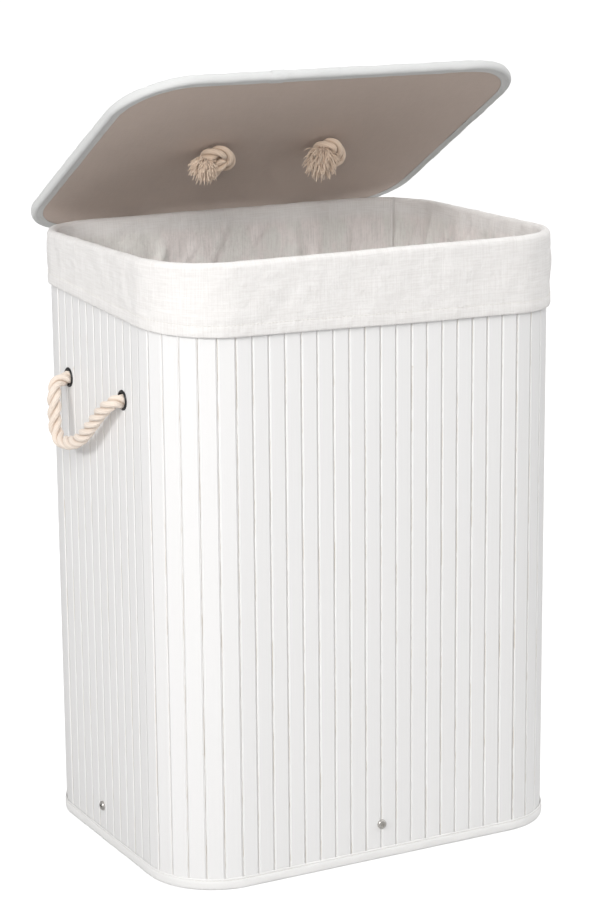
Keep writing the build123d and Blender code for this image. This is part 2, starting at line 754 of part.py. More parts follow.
print("strap pivot", round(pivot_y, 3), round(pivot_z, 3), "span", round(strap_span, 3))
print("lid fold", round(fold_open.Y, 3), round(fold_open.Z, 3))
print("strap swing from shut", round(strap_swing, 3), "follow ratio", round(follow_ratio, 5))
side_axis = left_face.from_local_coords(Vector(0, 0, SWING_OUT))
lid_axis = lid_top_face.from_local_coords(Vector(0, 0, SWING_OUT))
print("side handle axis", side_axis, "lid handle axis", lid_axis)
print("lid height", round(LID_HEIGHT, 3), "slat pitch", round(SLAT_PITCH, 3))
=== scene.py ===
import json
import random
from math import atan2, copysign, cos, exp, hypot, pi, radians, sin, sqrt

import bmesh
import bpy
import numpy as np
from mathutils import Matrix, Vector, noise
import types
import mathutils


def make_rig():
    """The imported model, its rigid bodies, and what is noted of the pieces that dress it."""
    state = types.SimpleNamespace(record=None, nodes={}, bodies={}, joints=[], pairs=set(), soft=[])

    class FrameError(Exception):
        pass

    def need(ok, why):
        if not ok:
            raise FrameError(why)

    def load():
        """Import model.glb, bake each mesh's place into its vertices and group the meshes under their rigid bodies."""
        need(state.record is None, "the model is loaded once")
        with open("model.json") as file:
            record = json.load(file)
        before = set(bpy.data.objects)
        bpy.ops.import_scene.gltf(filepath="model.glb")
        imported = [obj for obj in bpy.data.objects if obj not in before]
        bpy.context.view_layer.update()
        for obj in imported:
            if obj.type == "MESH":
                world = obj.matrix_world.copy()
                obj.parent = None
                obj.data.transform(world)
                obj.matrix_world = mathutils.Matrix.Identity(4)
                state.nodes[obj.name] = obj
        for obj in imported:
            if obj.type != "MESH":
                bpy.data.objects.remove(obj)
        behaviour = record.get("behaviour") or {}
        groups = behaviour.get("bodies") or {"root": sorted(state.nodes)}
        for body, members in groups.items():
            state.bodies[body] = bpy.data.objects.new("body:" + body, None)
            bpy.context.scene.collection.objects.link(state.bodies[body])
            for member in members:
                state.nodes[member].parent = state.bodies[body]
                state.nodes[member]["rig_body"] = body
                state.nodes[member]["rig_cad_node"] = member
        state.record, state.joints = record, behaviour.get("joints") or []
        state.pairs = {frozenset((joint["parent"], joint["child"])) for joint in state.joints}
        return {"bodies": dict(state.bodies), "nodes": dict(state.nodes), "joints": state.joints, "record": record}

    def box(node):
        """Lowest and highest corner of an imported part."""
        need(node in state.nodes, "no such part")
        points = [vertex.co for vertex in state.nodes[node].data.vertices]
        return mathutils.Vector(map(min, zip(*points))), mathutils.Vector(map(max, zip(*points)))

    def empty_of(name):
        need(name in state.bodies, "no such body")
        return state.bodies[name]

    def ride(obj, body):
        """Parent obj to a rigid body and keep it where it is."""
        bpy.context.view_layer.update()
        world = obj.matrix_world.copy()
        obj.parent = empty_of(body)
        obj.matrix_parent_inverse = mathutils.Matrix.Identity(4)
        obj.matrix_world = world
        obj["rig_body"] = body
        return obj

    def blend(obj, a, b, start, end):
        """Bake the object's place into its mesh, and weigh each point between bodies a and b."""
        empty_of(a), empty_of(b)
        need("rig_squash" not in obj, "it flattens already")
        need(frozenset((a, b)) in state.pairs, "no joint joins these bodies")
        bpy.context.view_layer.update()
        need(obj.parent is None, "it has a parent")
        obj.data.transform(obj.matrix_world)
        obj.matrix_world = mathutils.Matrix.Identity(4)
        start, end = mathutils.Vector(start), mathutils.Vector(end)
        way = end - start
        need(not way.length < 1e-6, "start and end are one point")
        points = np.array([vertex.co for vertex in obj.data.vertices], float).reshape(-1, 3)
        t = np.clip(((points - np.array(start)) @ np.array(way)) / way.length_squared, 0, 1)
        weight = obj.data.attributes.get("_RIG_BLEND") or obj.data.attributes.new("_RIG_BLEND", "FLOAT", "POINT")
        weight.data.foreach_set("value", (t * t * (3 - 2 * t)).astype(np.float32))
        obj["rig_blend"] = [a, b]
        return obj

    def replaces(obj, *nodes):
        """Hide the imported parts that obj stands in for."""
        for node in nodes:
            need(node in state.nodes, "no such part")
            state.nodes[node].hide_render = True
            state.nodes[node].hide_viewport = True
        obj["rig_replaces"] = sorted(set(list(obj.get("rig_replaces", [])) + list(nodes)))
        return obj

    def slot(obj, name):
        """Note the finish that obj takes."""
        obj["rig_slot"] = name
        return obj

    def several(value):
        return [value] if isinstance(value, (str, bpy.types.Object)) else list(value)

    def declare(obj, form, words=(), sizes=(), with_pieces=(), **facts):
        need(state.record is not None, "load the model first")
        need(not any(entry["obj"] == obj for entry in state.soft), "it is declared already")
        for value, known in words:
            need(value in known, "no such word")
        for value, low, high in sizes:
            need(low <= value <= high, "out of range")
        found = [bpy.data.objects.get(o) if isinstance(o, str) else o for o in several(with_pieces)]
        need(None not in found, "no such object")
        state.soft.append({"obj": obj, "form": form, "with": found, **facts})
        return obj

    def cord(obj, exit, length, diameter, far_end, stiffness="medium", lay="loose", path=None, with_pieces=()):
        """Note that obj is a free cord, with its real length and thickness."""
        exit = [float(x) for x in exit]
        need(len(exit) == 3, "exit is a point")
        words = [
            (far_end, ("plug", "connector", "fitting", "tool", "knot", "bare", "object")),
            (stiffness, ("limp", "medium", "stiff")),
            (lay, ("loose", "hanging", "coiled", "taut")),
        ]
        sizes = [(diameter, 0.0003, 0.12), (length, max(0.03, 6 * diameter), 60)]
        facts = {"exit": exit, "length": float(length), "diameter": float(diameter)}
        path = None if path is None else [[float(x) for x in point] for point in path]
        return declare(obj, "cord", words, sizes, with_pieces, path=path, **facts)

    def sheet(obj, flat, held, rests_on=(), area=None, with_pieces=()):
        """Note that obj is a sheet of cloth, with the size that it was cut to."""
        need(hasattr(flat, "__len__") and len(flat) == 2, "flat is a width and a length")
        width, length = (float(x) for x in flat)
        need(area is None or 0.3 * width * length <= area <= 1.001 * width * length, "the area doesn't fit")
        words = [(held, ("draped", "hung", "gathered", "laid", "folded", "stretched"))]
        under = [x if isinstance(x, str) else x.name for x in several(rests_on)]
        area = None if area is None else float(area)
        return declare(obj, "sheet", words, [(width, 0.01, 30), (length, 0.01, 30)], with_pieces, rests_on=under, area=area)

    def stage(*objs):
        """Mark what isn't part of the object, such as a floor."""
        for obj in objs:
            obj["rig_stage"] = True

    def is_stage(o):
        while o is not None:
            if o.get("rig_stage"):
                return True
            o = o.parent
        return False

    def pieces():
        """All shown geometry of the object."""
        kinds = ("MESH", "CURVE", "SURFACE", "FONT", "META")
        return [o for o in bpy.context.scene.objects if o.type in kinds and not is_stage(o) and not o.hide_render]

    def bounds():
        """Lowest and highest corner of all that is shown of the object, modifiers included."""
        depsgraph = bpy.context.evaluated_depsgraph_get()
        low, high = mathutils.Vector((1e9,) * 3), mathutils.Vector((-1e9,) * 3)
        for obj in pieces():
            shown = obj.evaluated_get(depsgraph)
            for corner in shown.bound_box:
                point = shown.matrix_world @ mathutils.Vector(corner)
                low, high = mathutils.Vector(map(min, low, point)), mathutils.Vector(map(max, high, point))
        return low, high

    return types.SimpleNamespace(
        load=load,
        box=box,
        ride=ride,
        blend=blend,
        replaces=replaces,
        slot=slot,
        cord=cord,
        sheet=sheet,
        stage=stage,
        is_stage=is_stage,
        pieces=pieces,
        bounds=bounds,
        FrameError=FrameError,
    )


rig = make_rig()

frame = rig.load()
cad_low, cad_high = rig.bounds()
nodes = frame["nodes"]

MM = 0.001
scene = bpy.context.scene

# The wall's shape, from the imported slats
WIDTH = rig.box("right_slats")[1].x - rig.box("left_slats")[0].x
FRONT_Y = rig.box("front_slats")[0].y
BACK_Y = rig.box("back_slats")[1].y
DEPTH = BACK_Y - FRONT_Y
BODY_Y = (BACK_Y + FRONT_Y) / 2
CORNER = 64 * MM
SLAT_THICK = 3.2 * MM
SLAT_PITCH = 15.561 * MM

# The open lid's plane: x right, y back and down towards the hinge, z out of its top face
LID_OPEN = radians(29.95)
LID_WIDTH = 400 * MM
LID_DEPTH = 318 * MM
LID_CORNER = 65 * MM
LID_ORIGIN = Vector((0, BODY_Y + 188.3 * MM, 540.8 * MM))
LID_Y = Vector((0, cos(LID_OPEN), -sin(LID_OPEN)))
LID_Z = Vector((0, sin(LID_OPEN), cos(LID_OPEN)))
LID_TOP_Z = 7.2 * MM
LID_MIDDLE = 4.07  # half the height of its folded tape, in millimetres
LID_SLATS = 26

# The handles and their eyelets
HALF_HOLES = 58.5 * MM
HOLES = (-HALF_HOLES, HALF_HOLES)
SIDES = ((-1, "left"), (1, "right"))
HANDLE_Y = BODY_Y + 8 * MM
HANDLE_Z = 426.5 * MM
ROPE = 11 * MM
ROPE_SKIN = 12.4 * MM  # over the loose outer fibres


def lid_point(x, y, z):
    """A point of the open lid's own plane, in the shared frame."""
    return LID_ORIGIN + Vector((x, 0, 0)) + LID_Y * y + LID_Z * z


# ---- materials


def node(tree, kind, settings=(), **inputs):
    """A shader node whose inputs are numbers, colours or other nodes' outputs. i2 is its input number 2."""
    made = tree.nodes.new("ShaderNode" + kind)
    for key, value in settings:
        setattr(made, key, value)
    for key, value in inputs.items():
        socket = made.inputs[int(key[1:])] if key[1:].isdigit() else made.inputs[key.replace("_", " ")]
        if isinstance(value, bpy.types.NodeSocket):
            tree.links.new(value, socket)
        else:
            socket.default_value = value
    return made


def maths(operation, a, b=0.0, clamp=False):
    """The output of a maths node. At least one of a and b is another node's output."""
    tree = (a if isinstance(a, bpy.types.NodeSocket) else b).id_data
    settings = [("operation", operation), ("use_clamp", clamp)]
    return node(tree, "Math", settings, i0=a, i1=b).outputs[0]


def times(a, b, clamp=False):
    return maths("MULTIPLY", a, b, clamp)


def plus(total, *others):
    for other in others:
        total = maths("ADD", total, other)
    return total


def ramp(value, low, high, to_low=0.0, to_high=1.0):
    """value from low to high becomes to_low to to_high, smoothly and no further."""
    settings = [("interpolation_type", "SMOOTHSTEP")]
    limits = {"i1": low, "i2": high, "i3": to_low, "i4": to_high}
    return node(value.id_data, "MapRange", settings, i0=value, **limits).outputs[0]


def mix(factor, a, b):
    settings = [("data_type", "RGBA"), ("clamp_factor", True)]
    return node(factor.id_data, "Mix", settings, i0=factor, i6=a, i7=b).outputs[2]


def noise_of(vector, scale, detail=3.0, rough=0.5, stretch=(1, 1, 1)):
    """Noise over the object, finer along the axes with a larger stretch."""
    tree = vector.id_data
    mapped = node(tree, "Mapping", i0=vector, Scale=stretch).outputs[0]
    return node(tree, "TexNoise", i0=mapped, Scale=scale, Detail=detail, Roughness=rough).outputs[0]


def start_material(name, roughness, uv=False, **sockets):
    """A new principled material: its tree, shader and the vector that its textures read."""
    material = bpy.data.materials.new(name)
    material.use_nodes = True
    tree = material.node_tree
    shader = tree.nodes["Principled BSDF"]
    shader.inputs["Roughness"].default_value = roughness
    for key, value in sockets.items():
        shader.inputs[key.replace("_", " ")].default_value = value
    vector = node(tree, "TexCoord").outputs["UV" if uv else "Object"]
    return material, tree, shader, vector


def finish_material(shader, colour, height, depth, strength=1.0):
    """Joins a colour and a bump of that depth in metres to the shader."""
    tree = shader.id_data
    tree.links.new(colour, shader.inputs["Base Color"])
    bump = node(tree, "Bump", Strength=strength, Distance=depth, Height=height)
    tree.links.new(bump.outputs[0], shader.inputs["Normal"])


def rgb(r, g, b):
    return (r, g, b, 1.0)


WHITE_PAINT = rgb(0.865, 0.858, 0.856)
THIN_PAINT = rgb(0.74, 0.735, 0.72)
# Whiter paint for the painted highlight along the slats' edges
EDGE_HIGHLIGHT_PAINT = rgb(0.975, 0.97, 0.965)
# Bare bamboo where the paint is worn off, also used for the painted shade down in the gaps
BARE_EDGE_AND_GAP_SHADE = rgb(0.55, 0.46, 0.34)
NICK = rgb(0.52, 0.44, 0.33)
GAP_SHADE = 0.16


def slat_paint(name, across, start, pitch, centre=None):
    """White-painted split bamboo. across is the axis that counts the slats from start, or "turn" for the
    slats of a corner, which are counted round its centre: the point, and the ways out of it along x and y.
    Grain runs along the slats."""
    material, tree, shader, vector = start_material(name, 0.42, Specular_IOR_Level=0.35)
    x, y = node(tree, "SeparateXYZ", i0=vector).outputs[:2]
    if across == "turn":
        centre_x, centre_y, way_x, way_y = centre
        dx = maths("SUBTRACT", x, centre_x)
        dy = maths("SUBTRACT", y, centre_y)
        along = times(maths("ARCTAN2", times(dx, way_x), times(dy, way_y)), CORNER - SLAT_THICK)
    else:
        along = {"x": x, "y": y}[across]
    count = maths("DIVIDE", maths("SUBTRACT", along, start), pitch)
    part = maths("FRACT", plus(count, 1000.0))
    edge = times(maths("MINIMUM", part, maths("SUBTRACT", 1.0, part)), pitch)
    seed = node(tree, "CombineXYZ", i0=maths("FLOOR", count), i1=len(name) * 1.7).outputs[0]
    tone = node(tree, "TexWhiteNoise", [("noise_dimensions", "3D")], i0=seed).outputs[0]
    shift = node(tree, "CombineXYZ", i2=times(tone, 7.0)).outputs[0]
    shifted = node(tree, "VectorMath", i0=vector, i1=shift).outputs[0]
    grain = noise_of(shifted, 420.0, 4.0, 0.6, (1, 1, 0.035))
    broad = noise_of(shifted, 60.0, 2.0, stretch=(1, 1, 0.08))
    fleck = noise_of(shifted, 55.0, 3.0, 0.65, (0.4, 0.4, 0.55))
    chips = noise_of(shifted, 38.0, 4.0, 0.7, (1, 1, 0.7))
    colour = mix(plus(times(tone, 0.075), times(grain, 0.05), times(broad, 0.05)), WHITE_PAINT, THIN_PAINT)
    # Painted highlight: the paint is drawn whiter near each slat edge, where the lit bevels shine
    painted_edge_highlight = times(ramp(edge, 2.1 * MM, 1.4 * MM), 0.85)
    colour = mix(painted_edge_highlight, colour, EDGE_HIGHLIGHT_PAINT)
    worn = times(ramp(edge, 0.75 * MM, 0.3 * MM), ramp(fleck, 0.42, 0.68), clamp=True)
    # Painted shade down in the gaps between the slats, mixed with the real wear of the worn bevels into one brown
    # colour
    gap_shade_mask = times(ramp(edge, 0.35 * MM, 0.17 * MM), GAP_SHADE)
    colour = mix(maths("MAXIMUM", times(worn, 0.5), gap_shade_mask), colour, BARE_EDGE_AND_GAP_SHADE)
    nicked = times(ramp(edge, 2.4 * MM, 0.5 * MM), ramp(chips, 0.69, 0.76))
    colour = mix(times(nicked, 0.6), colour, NICK)
    crown = ramp(edge, 0.5 * MM, 1.7 * MM, 0.0, 0.85)
    finish_material(shader, colour, plus(crown, times(plus(grain, broad), 0.08)), 1.0 * MM)
    return material


def cloth(name, colour, shade, thread=0.62 * MM, slub=0.5, crease=0.4, roughness=0.9, uv=True, sheen=0.25,
          inside=None):
    """Plain-weave cotton: crossing threads, thicker slubs along both ways and soft creases. inside is the
    distance up the cloth from which it lines the inside, and the three colours that it has there, which are
    darker than the rest as painted shade, with the cloth's own patches and streaks in them."""
    material, tree, shader, vector = start_material(
        name, roughness, uv, Sheen_Weight=sheen, Sheen_Roughness=0.5, Specular_IOR_Level=0.15
    )
    u, v = node(tree, "SeparateXYZ", i0=vector).outputs[:2]
    turn = 2 * pi / thread
    weave = times(maths("SINE", times(u, turn)), maths("SINE", times(v, turn)))
    slub_u = noise_of(vector, 1.0, 2.0, stretch=(900, 45, 45))
    slub_v = noise_of(vector, 1.0, 2.0, stretch=(45, 900, 45))
    fine = noise_of(vector, 260.0, 4.0, 0.6)
    broad = noise_of(vector, 22.0)
    creases = noise_of(vector, 70.0, 4.0, 0.6)
    slubs = plus(slub_u, slub_v)
    level = plus(times(ramp(slubs, 0.75, 1.3), slub), times(fine, 0.25), times(broad, 0.25))
    shown = mix(level, colour, shade)
    # The inside is drawn darker than the cuff: painted shade under the lid, with the cloth's own pink and grey patches
    # and streaks
    if inside:
        start, pink, grey, dark = inside
        patches = ramp(noise_of(vector, 24.0, 4.0, 0.6, (1.3, 0.7, 1)), 0.42, 0.6)
        streaks = times(ramp(plus(slub_u, times(fine, 0.5)), 0.6, 1.0), 0.6)
        painted_shade_lining = mix(streaks, mix(patches, pink, grey), dark)
        shown = mix(ramp(v, start, start + 12 * MM), shown, painted_shade_lining)
    height = plus(times(weave, 0.12), times(slubs, 0.22), times(creases, crease))
    finish_material(shader, shown, height, 0.6 * MM, 0.6)
    return material


def tape_cloth(name, colour, shade):
    """Narrow woven tape: a close herringbone across its width, and a soft sheen."""
    material, tree, shader, vector = start_material(
        name, 0.8, True, Sheen_Weight=0.2, Sheen_Roughness=0.5, Specular_IOR_Level=0.2
    )
    u, v = node(tree, "SeparateXYZ", i0=vector).outputs[:2]
    slant = plus(u, maths("PINGPONG", v, 2.2 * MM))
    twill = maths("SINE", times(slant, 2 * pi / (0.9 * MM)))
    fine = noise_of(vector, 330.0, 4.0, 0.6)
    broad = noise_of(vector, 35.0)
    shown = mix(plus(times(fine, 0.35), times(broad, 0.4)), colour, shade)
    finish_material(shader, shown, plus(times(twill, 0.25), times(broad, 0.6)), 0.4 * MM, 0.5)
    return material


def rope_cotton(name, pale, bright, fibre, valley):
    """Natural cotton rope: fibres along each yarn, and painted shade down in the lay, where lay_depth mixes in the
    valley colour.
    """
    material, tree, shader, vector = start_material(
        name, 0.92, True, Sheen_Weight=0.35, Sheen_Roughness=0.6, Specular_IOR_Level=0.12
    )
    place = node(tree, "TexCoord").outputs["Object"]
    fibres = noise_of(vector, 1.0, 3.0, 0.6, (2600, 160, 160))
    depth = node(tree, "Attribute", [("attribute_name", "lay_depth")]).outputs["Fac"]
    light = mix(noise_of(place, 120.0), pale, bright)
    light = mix(times(fibres, 0.35), light, fibre)
    finish_material(shader, mix(times(depth, 0.75), light, valley), fibres, 0.35 * MM, 0.7)
    return material


def metal(name, colour, roughness, scale, metallic, patina):
    """Bare or blackened metal with fine scratches and a little patina."""
    material, tree, shader, vector = start_material(name, roughness, Metallic=metallic)
    fine = noise_of(vector, scale, 4.0, 0.6, (1, 1, 6))
    broad = noise_of(vector, scale / 6)
    scratched = ramp(fine, 0.2, 0.8, roughness - 0.08, roughness + 0.1)
    tree.links.new(scratched, shader.inputs["Roughness"])
    finish_material(shader, mix(times(broad, 0.4), colour, patina), fine, 0.05 * MM, 0.3)
    return material


def plywood(name):
    """Birch plywood: long grain and the wavy bands of its face veneer."""
    material, tree, shader, vector = start_material(name, 0.6, Specular_IOR_Level=0.3)
    grain = noise_of(vector, 90.0, 5.0, 0.6, (0.08, 1, 1))
    settings = [("wave_type", "BANDS"), ("bands_direction", "Y")]
    bands = node(tree, "TexWave", settings, i0=vector, Scale=9.0, Distortion=7.0, Detail=3.0)
    level = plus(times(grain, 0.6), times(bands.outputs[1], 0.35))
    finish_material(shader, mix(level, rgb(0.62, 0.46, 0.29), rgb(0.40, 0.26, 0.14)), grain, 0.2 * MM, 0.4)
    return material


# ---- meshes


def link(made):
    scene.collection.objects.link(made)
    return made


def new_object(name, material, vertices, faces, uvs=None, depths=None, smooth_angle=None):
    """A mesh object. uvs and depths have one entry for each vertex, and smooth_angle is in degrees."""
    mesh = bpy.data.meshes.new(name)
    mesh.from_pydata([tuple(v) for v in vertices], [], faces)
    if uvs is not None:
        layer = mesh.uv_layers.new(name="UVMap")
        loops = np.zeros(len(mesh.loops), int)
        mesh.loops.foreach_get("vertex_index", loops)
        layer.data.foreach_set("uv", np.array(uvs, np.float32)[loops].ravel())
    if depths is not None:
        stored = mesh.attributes.new("lay_depth", "FLOAT", "POINT")
        stored.data.foreach_set("value", np.array(depths, np.float32))
    mesh.validate()
    mesh.shade_smooth()
    if smooth_angle is not None:
        mesh.set_sharp_from_angle(angle=radians(smooth_angle))
    mesh.materials.append(material)
    return link(bpy.data.objects.new(name, mesh))


def worked(made, change):
    """Applies a change to a mesh, as bmesh."""
    work = bmesh.new()
    work.from_mesh(made.data)
    change(work)
    work.to_mesh(made.data)
    work.free()
    return made


def face_outwards(made):
    return worked(made, lambda work: bmesh.ops.recalc_face_normals(work, faces=work.faces[:]))


def put(made, body, slot, *replaced):
    """Makes a mesh ride on one body, in place of the nodes that are named."""
    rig.ride(made, body)
    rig.slot(made, slot)
    if replaced:
        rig.replaces(made, *replaced)


def piece(name, shape, material, body, slot, *replaced, smooth_angle=None):
    """A closed mesh that rides on one body. shape is its vertices, faces, uvs and, on a rope, depths."""
    made = face_outwards(new_object(name, material, *shape, smooth_angle=smooth_angle))
    put(made, body, slot, *replaced)


def thicken(sheet, thickness, offset):
    """Gives a sheet its thickness, out of its faces for an offset of 1 and into them for -1."""
    shell = sheet.modifiers.new("cloth", "SOLIDIFY")
    shell.thickness = thickness
    shell.offset = offset


def grid_faces(rows, columns, closed=False):
    """Faces between rows of vertices that go round, and from the last row to the first if closed."""
    faces = []
    for i in range(rows if closed else rows - 1):
        this, after = i * columns, (i + 1) % rows * columns
        for j in range(columns):
            beside = (j + 1) % columns
            faces.append((this + j, this + beside, after + beside, after + j))
    return faces


def tube_faces(base, rings, sides):
    """The faces of a tube that is closed at both ends, and whose vertices start at number base."""
    faces = [tuple(base + v for v in face) for face in grid_faces(rings, sides)]
    faces.append(tuple(base + k for k in reversed(range(sides))))
    faces.append(tuple(base + (rings - 1) * sides + k for k in range(sides)))
    return faces


def outline(width, depth, corner, step):
    """Stations round a rounded rectangle, from the front's middle towards +x: for each, the point that its
    corner or side is drawn from, the direction outwards, and the distance along."""
    half_x, half_y = width / 2 - corner, depth / 2 - corner
    runs = [("side", half_x)]
    for side in (2 * half_y, 2 * half_x, 2 * half_y, half_x):
        runs += [("turn", corner * pi / 2), ("side", side)]
    total = sum(length for _, length in runs)
    count = round(total / step)
    stations = []
    for number in range(count):
        left = number * total / count
        heading = 0.0
        x, y = 0.0, -half_y
        for kind, length in runs:
            used = min(left, length)
            if kind == "side":
                x += used * cos(heading)
                y += used * sin(heading)
            else:
                heading += used / corner
            left -= used
            if left <= 1e-12:
                break
        stations.append((x, y, sin(heading), -cos(heading), number * total / count))
    return stations


def tube_frames(points):
    """A direction and two crossways ones at each point, turned as little as possible on the way."""
    tangents = []
    for i in range(len(points)):
        before = points[max(i - 1, 0)]
        after = points[min(i + 1, len(points) - 1)]
        tangents.append((after - before).normalized())
    side = tangents[0].orthogonal().normalized()
    frames = []
    for tangent in tangents:
        side = (side - tangent * side.dot(tangent)).normalized()
        frames.append((tangent, side, tangent.cross(side)))
    return frames


def smooth_line(controls, steps=28, order=3):
    """The points of a NURBS spline with those control points."""
    curve = bpy.data.curves.new("line", "CURVE")
    curve.dimensions = "3D"
    spline = curve.splines.new("NURBS")
    spline.points.add(len(controls) - 1)
    for point, place in zip(spline.points, controls):
        point.co = (*place, 1.0)
    spline.order_u = order
    spline.use_endpoint_u = True
    spline.resolution_u = steps
    line = link(bpy.data.objects.new("line", curve))
    bpy.context.view_layer.update()
    mesh = bpy.data.meshes.new_from_object(line.evaluated_get(bpy.context.evaluated_depsgraph_get()))
    points = [v.co.copy() for v in mesh.vertices]
    bpy.data.objects.remove(line)
    bpy.data.curves.remove(curve)
    bpy.data.meshes.remove(mesh)
    return points


STRANDS = 3
ROUND = 24  # points across each strand of a rope's skin
LAY = 38 * MM  # length of one turn of the strands
YARN_SIDES, YARN_RINGS = 6, 7


def rope_skin(points, diameter, start_turn=0.0):
    """Vertices, faces, uvs and valley depths of a three-strand rope along points. Its section is three
    bulging strands with yarns in them, which turn once in each lay."""
    strand = diameter * 0.252
    reach = diameter / 2 - strand
    vertices, uvs, depths = [], [], []
    travelled = 0.0
    around = STRANDS * ROUND
    for row, (point, (_, side, up)) in enumerate(zip(points, tube_frames(points))):
        if row:
            travelled += (point - points[row - 1]).length
        turn = start_turn + 2 * pi * travelled / LAY
        for k in range(around):
            lobe, part = divmod(k, ROUND)
            across = (part / ROUND - 0.5) * 2 * pi / STRANDS
            root = max(strand**2 - (reach * sin(across)) ** 2, 0.0)
            radius = reach * cos(across) + sqrt(root)
            bulge = atan2(radius * sin(across), radius * cos(across) - reach)
            yarn = cos(7 * bulge - 2 * pi * travelled / (LAY * 0.8) + lobe)
            radius += 0.016 * diameter * yarn
            angle = turn + (lobe + part / ROUND) * 2 * pi / STRANDS
            vertices.append(point + (side * cos(angle) + up * sin(angle)) * radius)
            uvs.append((k / around * pi * diameter, travelled))
            # Painted shade: points deep in the valleys between strands, and in a yarn's groove, take more of the
            # valley colour
            valley = abs(across) / (pi / STRANDS)
            depths.append(min(1.0, valley**5 + 0.18 * (0.5 - 0.5 * yarn)))
    faces = grid_faces(len(points), around)
    for row, turned in ((0, True), (len(points) - 1, False)):
        centre = len(vertices)
        vertices.append(points[row])
        uvs.append((0, row))
        depths.append(0.4)
        for k in range(around):
            a, b = row * around + k, row * around + (k + 1) % around
            faces.append((centre, b, a) if turned else (centre, a, b))
    return vertices, faces, uvs, depths


def yarn_brush(end, direction, diameter, length, count, spread, draws):
    """Cut yarns that fan out of a rope's end: vertices, faces, uvs and depths."""
    direction = direction.normalized()
    side = direction.orthogonal().normalized()
    up = direction.cross(side)
    vertices, faces, uvs, depths = [], [], [], []
    for _ in range(count):
        share = sqrt(draws.random())
        angle = draws.uniform(0, 2 * pi)
        out = side * cos(angle) + up * sin(angle)
        start = end + out * share * diameter * 0.42 - direction * 3.5 * MM
        lean = radians(78) * spread * min(share * draws.uniform(0.6, 1.15), 1.1)
        way = direction * cos(lean) + out * sin(lean)
        curl = Vector((draws.uniform(-1, 1), draws.uniform(-1, 1), draws.uniform(-1, 1))) * 0.3
        reach = length * draws.uniform(0.7, 1.05) * (1 - 0.25 * share)
        thick = draws.uniform(0.36, 0.56) * MM
        line = []
        for ring in range(YARN_RINGS):
            t = ring / (YARN_RINGS - 1)
            droop = Vector((0, 0, -0.45)) * t * t
            moved = direction * 0.25 * t + way * (t - 0.12 * t * t) + (curl * t + droop) * t
            line.append(start + moved * reach)
        faces += tube_faces(len(vertices), YARN_RINGS, YARN_SIDES)
        for ring, (point, (_, a, b)) in enumerate(zip(line, tube_frames(line))):
            size = thick * (1.0 if ring < YARN_RINGS - 1 else 0.7)
            for k in range(YARN_SIDES):
                turn = 2 * pi * k / YARN_SIDES + ring * 0.5
                vertices.append(point + (a * cos(turn) + b * sin(turn)) * size)
                uvs.append((k / YARN_SIDES * 3 * MM, ring / YARN_RINGS * reach))
                # Painted shade at each cut yarn's root, fading out along it
                depths.append(max(0.0, 0.55 - ring * 0.12))
    return vertices, faces, uvs, depths


def joined(parts):
    """Several sets of vertices, faces, uvs and depths as one."""
    vertices, faces, uvs, depths = [], [], [], []
    for part in parts:
        faces += [tuple(len(vertices) + v for v in face) for face in part[1]]
        vertices += part[0]
        uvs += part[2]
        depths += part[3]
    return vertices, faces, uvs, depths


EYELET_SIDES = 56


def lathe(profile, places):
    """Vertices and faces of a closed profile of (radius, height) turned round each place's axis. A place is
    (origin, one crossways direction, axis)."""
    vertices, faces, uvs = [], [], []
    for origin, side, axis in places:
        up = axis.cross(side)
        base = len(vertices)
        for i, (radius, height) in enumerate(profile):
            for k in range(EYELET_SIDES):
                turn = 2 * pi * k / EYELET_SIDES
                out = side * cos(turn) + up * sin(turn)
                vertices.append(origin + out * radius + axis * height)
                uvs.append((turn * radius, i * MM))
        for face in grid_faces(len(profile), EYELET_SIDES, True):
            faces.append(tuple(base + v for v in face))
    return vertices, faces, uvs


def wall_point(station, out, z):
    """The point that far out of the wall's face at a station of its outline."""
    x, y, nx, ny = station[:4]
    return Vector((x + nx * (CORNER + out), BODY_Y + y + ny * (CORNER + out), z))


def rough(x, y, z, scale):
    return noise.noise(Vector((x, y, z)) * scale)


def ripple(x, y, z):
    return noise.noise(Vector((x, y, z)))


# ---- camera, lights and floor

# The view that was solved from the photograph's straight edges
CAMERA_PLACE = (-1.1013, -2.0804, 0.8892)
azimuth, elevation, roll = radians(-28.13), radians(13.22), radians(-0.50)
level = cos(elevation)
back = Vector((sin(azimuth) * level, -cos(azimuth) * level, sin(elevation)))
level_right = (-back).cross(Vector((0, 0, 1))).normalized()
level_up = level_right.cross(-back)
right = level_right * cos(roll) + level_up * sin(roll)
up = level_up * cos(roll) - level_right * sin(roll)
camera_data = bpy.data.cameras.new("camera")
camera_data.sensor_width = 36
camera_data.lens = 101.7
camera_data.clip_end = 100
camera = link(bpy.data.objects.new("camera", camera_data))
camera.matrix_world = Matrix.Translation(CAMERA_PLACE) @ Matrix((right, up, back)).transposed().to_4x4()
scene.camera = camera
scene.view_settings.view_transform = "Standard"

world = bpy.data.worlds.new("studio")
world.use_nodes = True
sky = world.node_tree
sky_way = node(sky, "TexCoord").outputs["Generated"]


def sky_lobe(direction, sharpness, level):
    """A soft patch of sky round a direction."""
    settings, middle = [("operation", "DOT_PRODUCT")], Vector(direction).normalized()
    facing = node(sky, "VectorMath", settings, i0=sky_way, i1=middle).outputs[1]
    return times(maths("POWER", maths("MAXIMUM", facing, 0.0), sharpness), level)


lobes = ((0, 0, 1), 1.0, 0.3), ((0.8, 0, 0.6), 3.0, 1.2), ((0.5, -0.86, 0.1), 5.0, 0.18)
sky_level = plus(0.305, *(sky_lobe(*lobe) for lobe in lobes))
# The camera sees a white backdrop
sky_level = maths("MAXIMUM", sky_level, node(sky, "LightPath").outputs["Is Camera Ray"])
sky.links.new(sky_level, sky.nodes["Background"].inputs[1])
sky.nodes["Background"].inputs[0].default_value = rgb(1.0, 1.0, 1.0)
scene.world = world


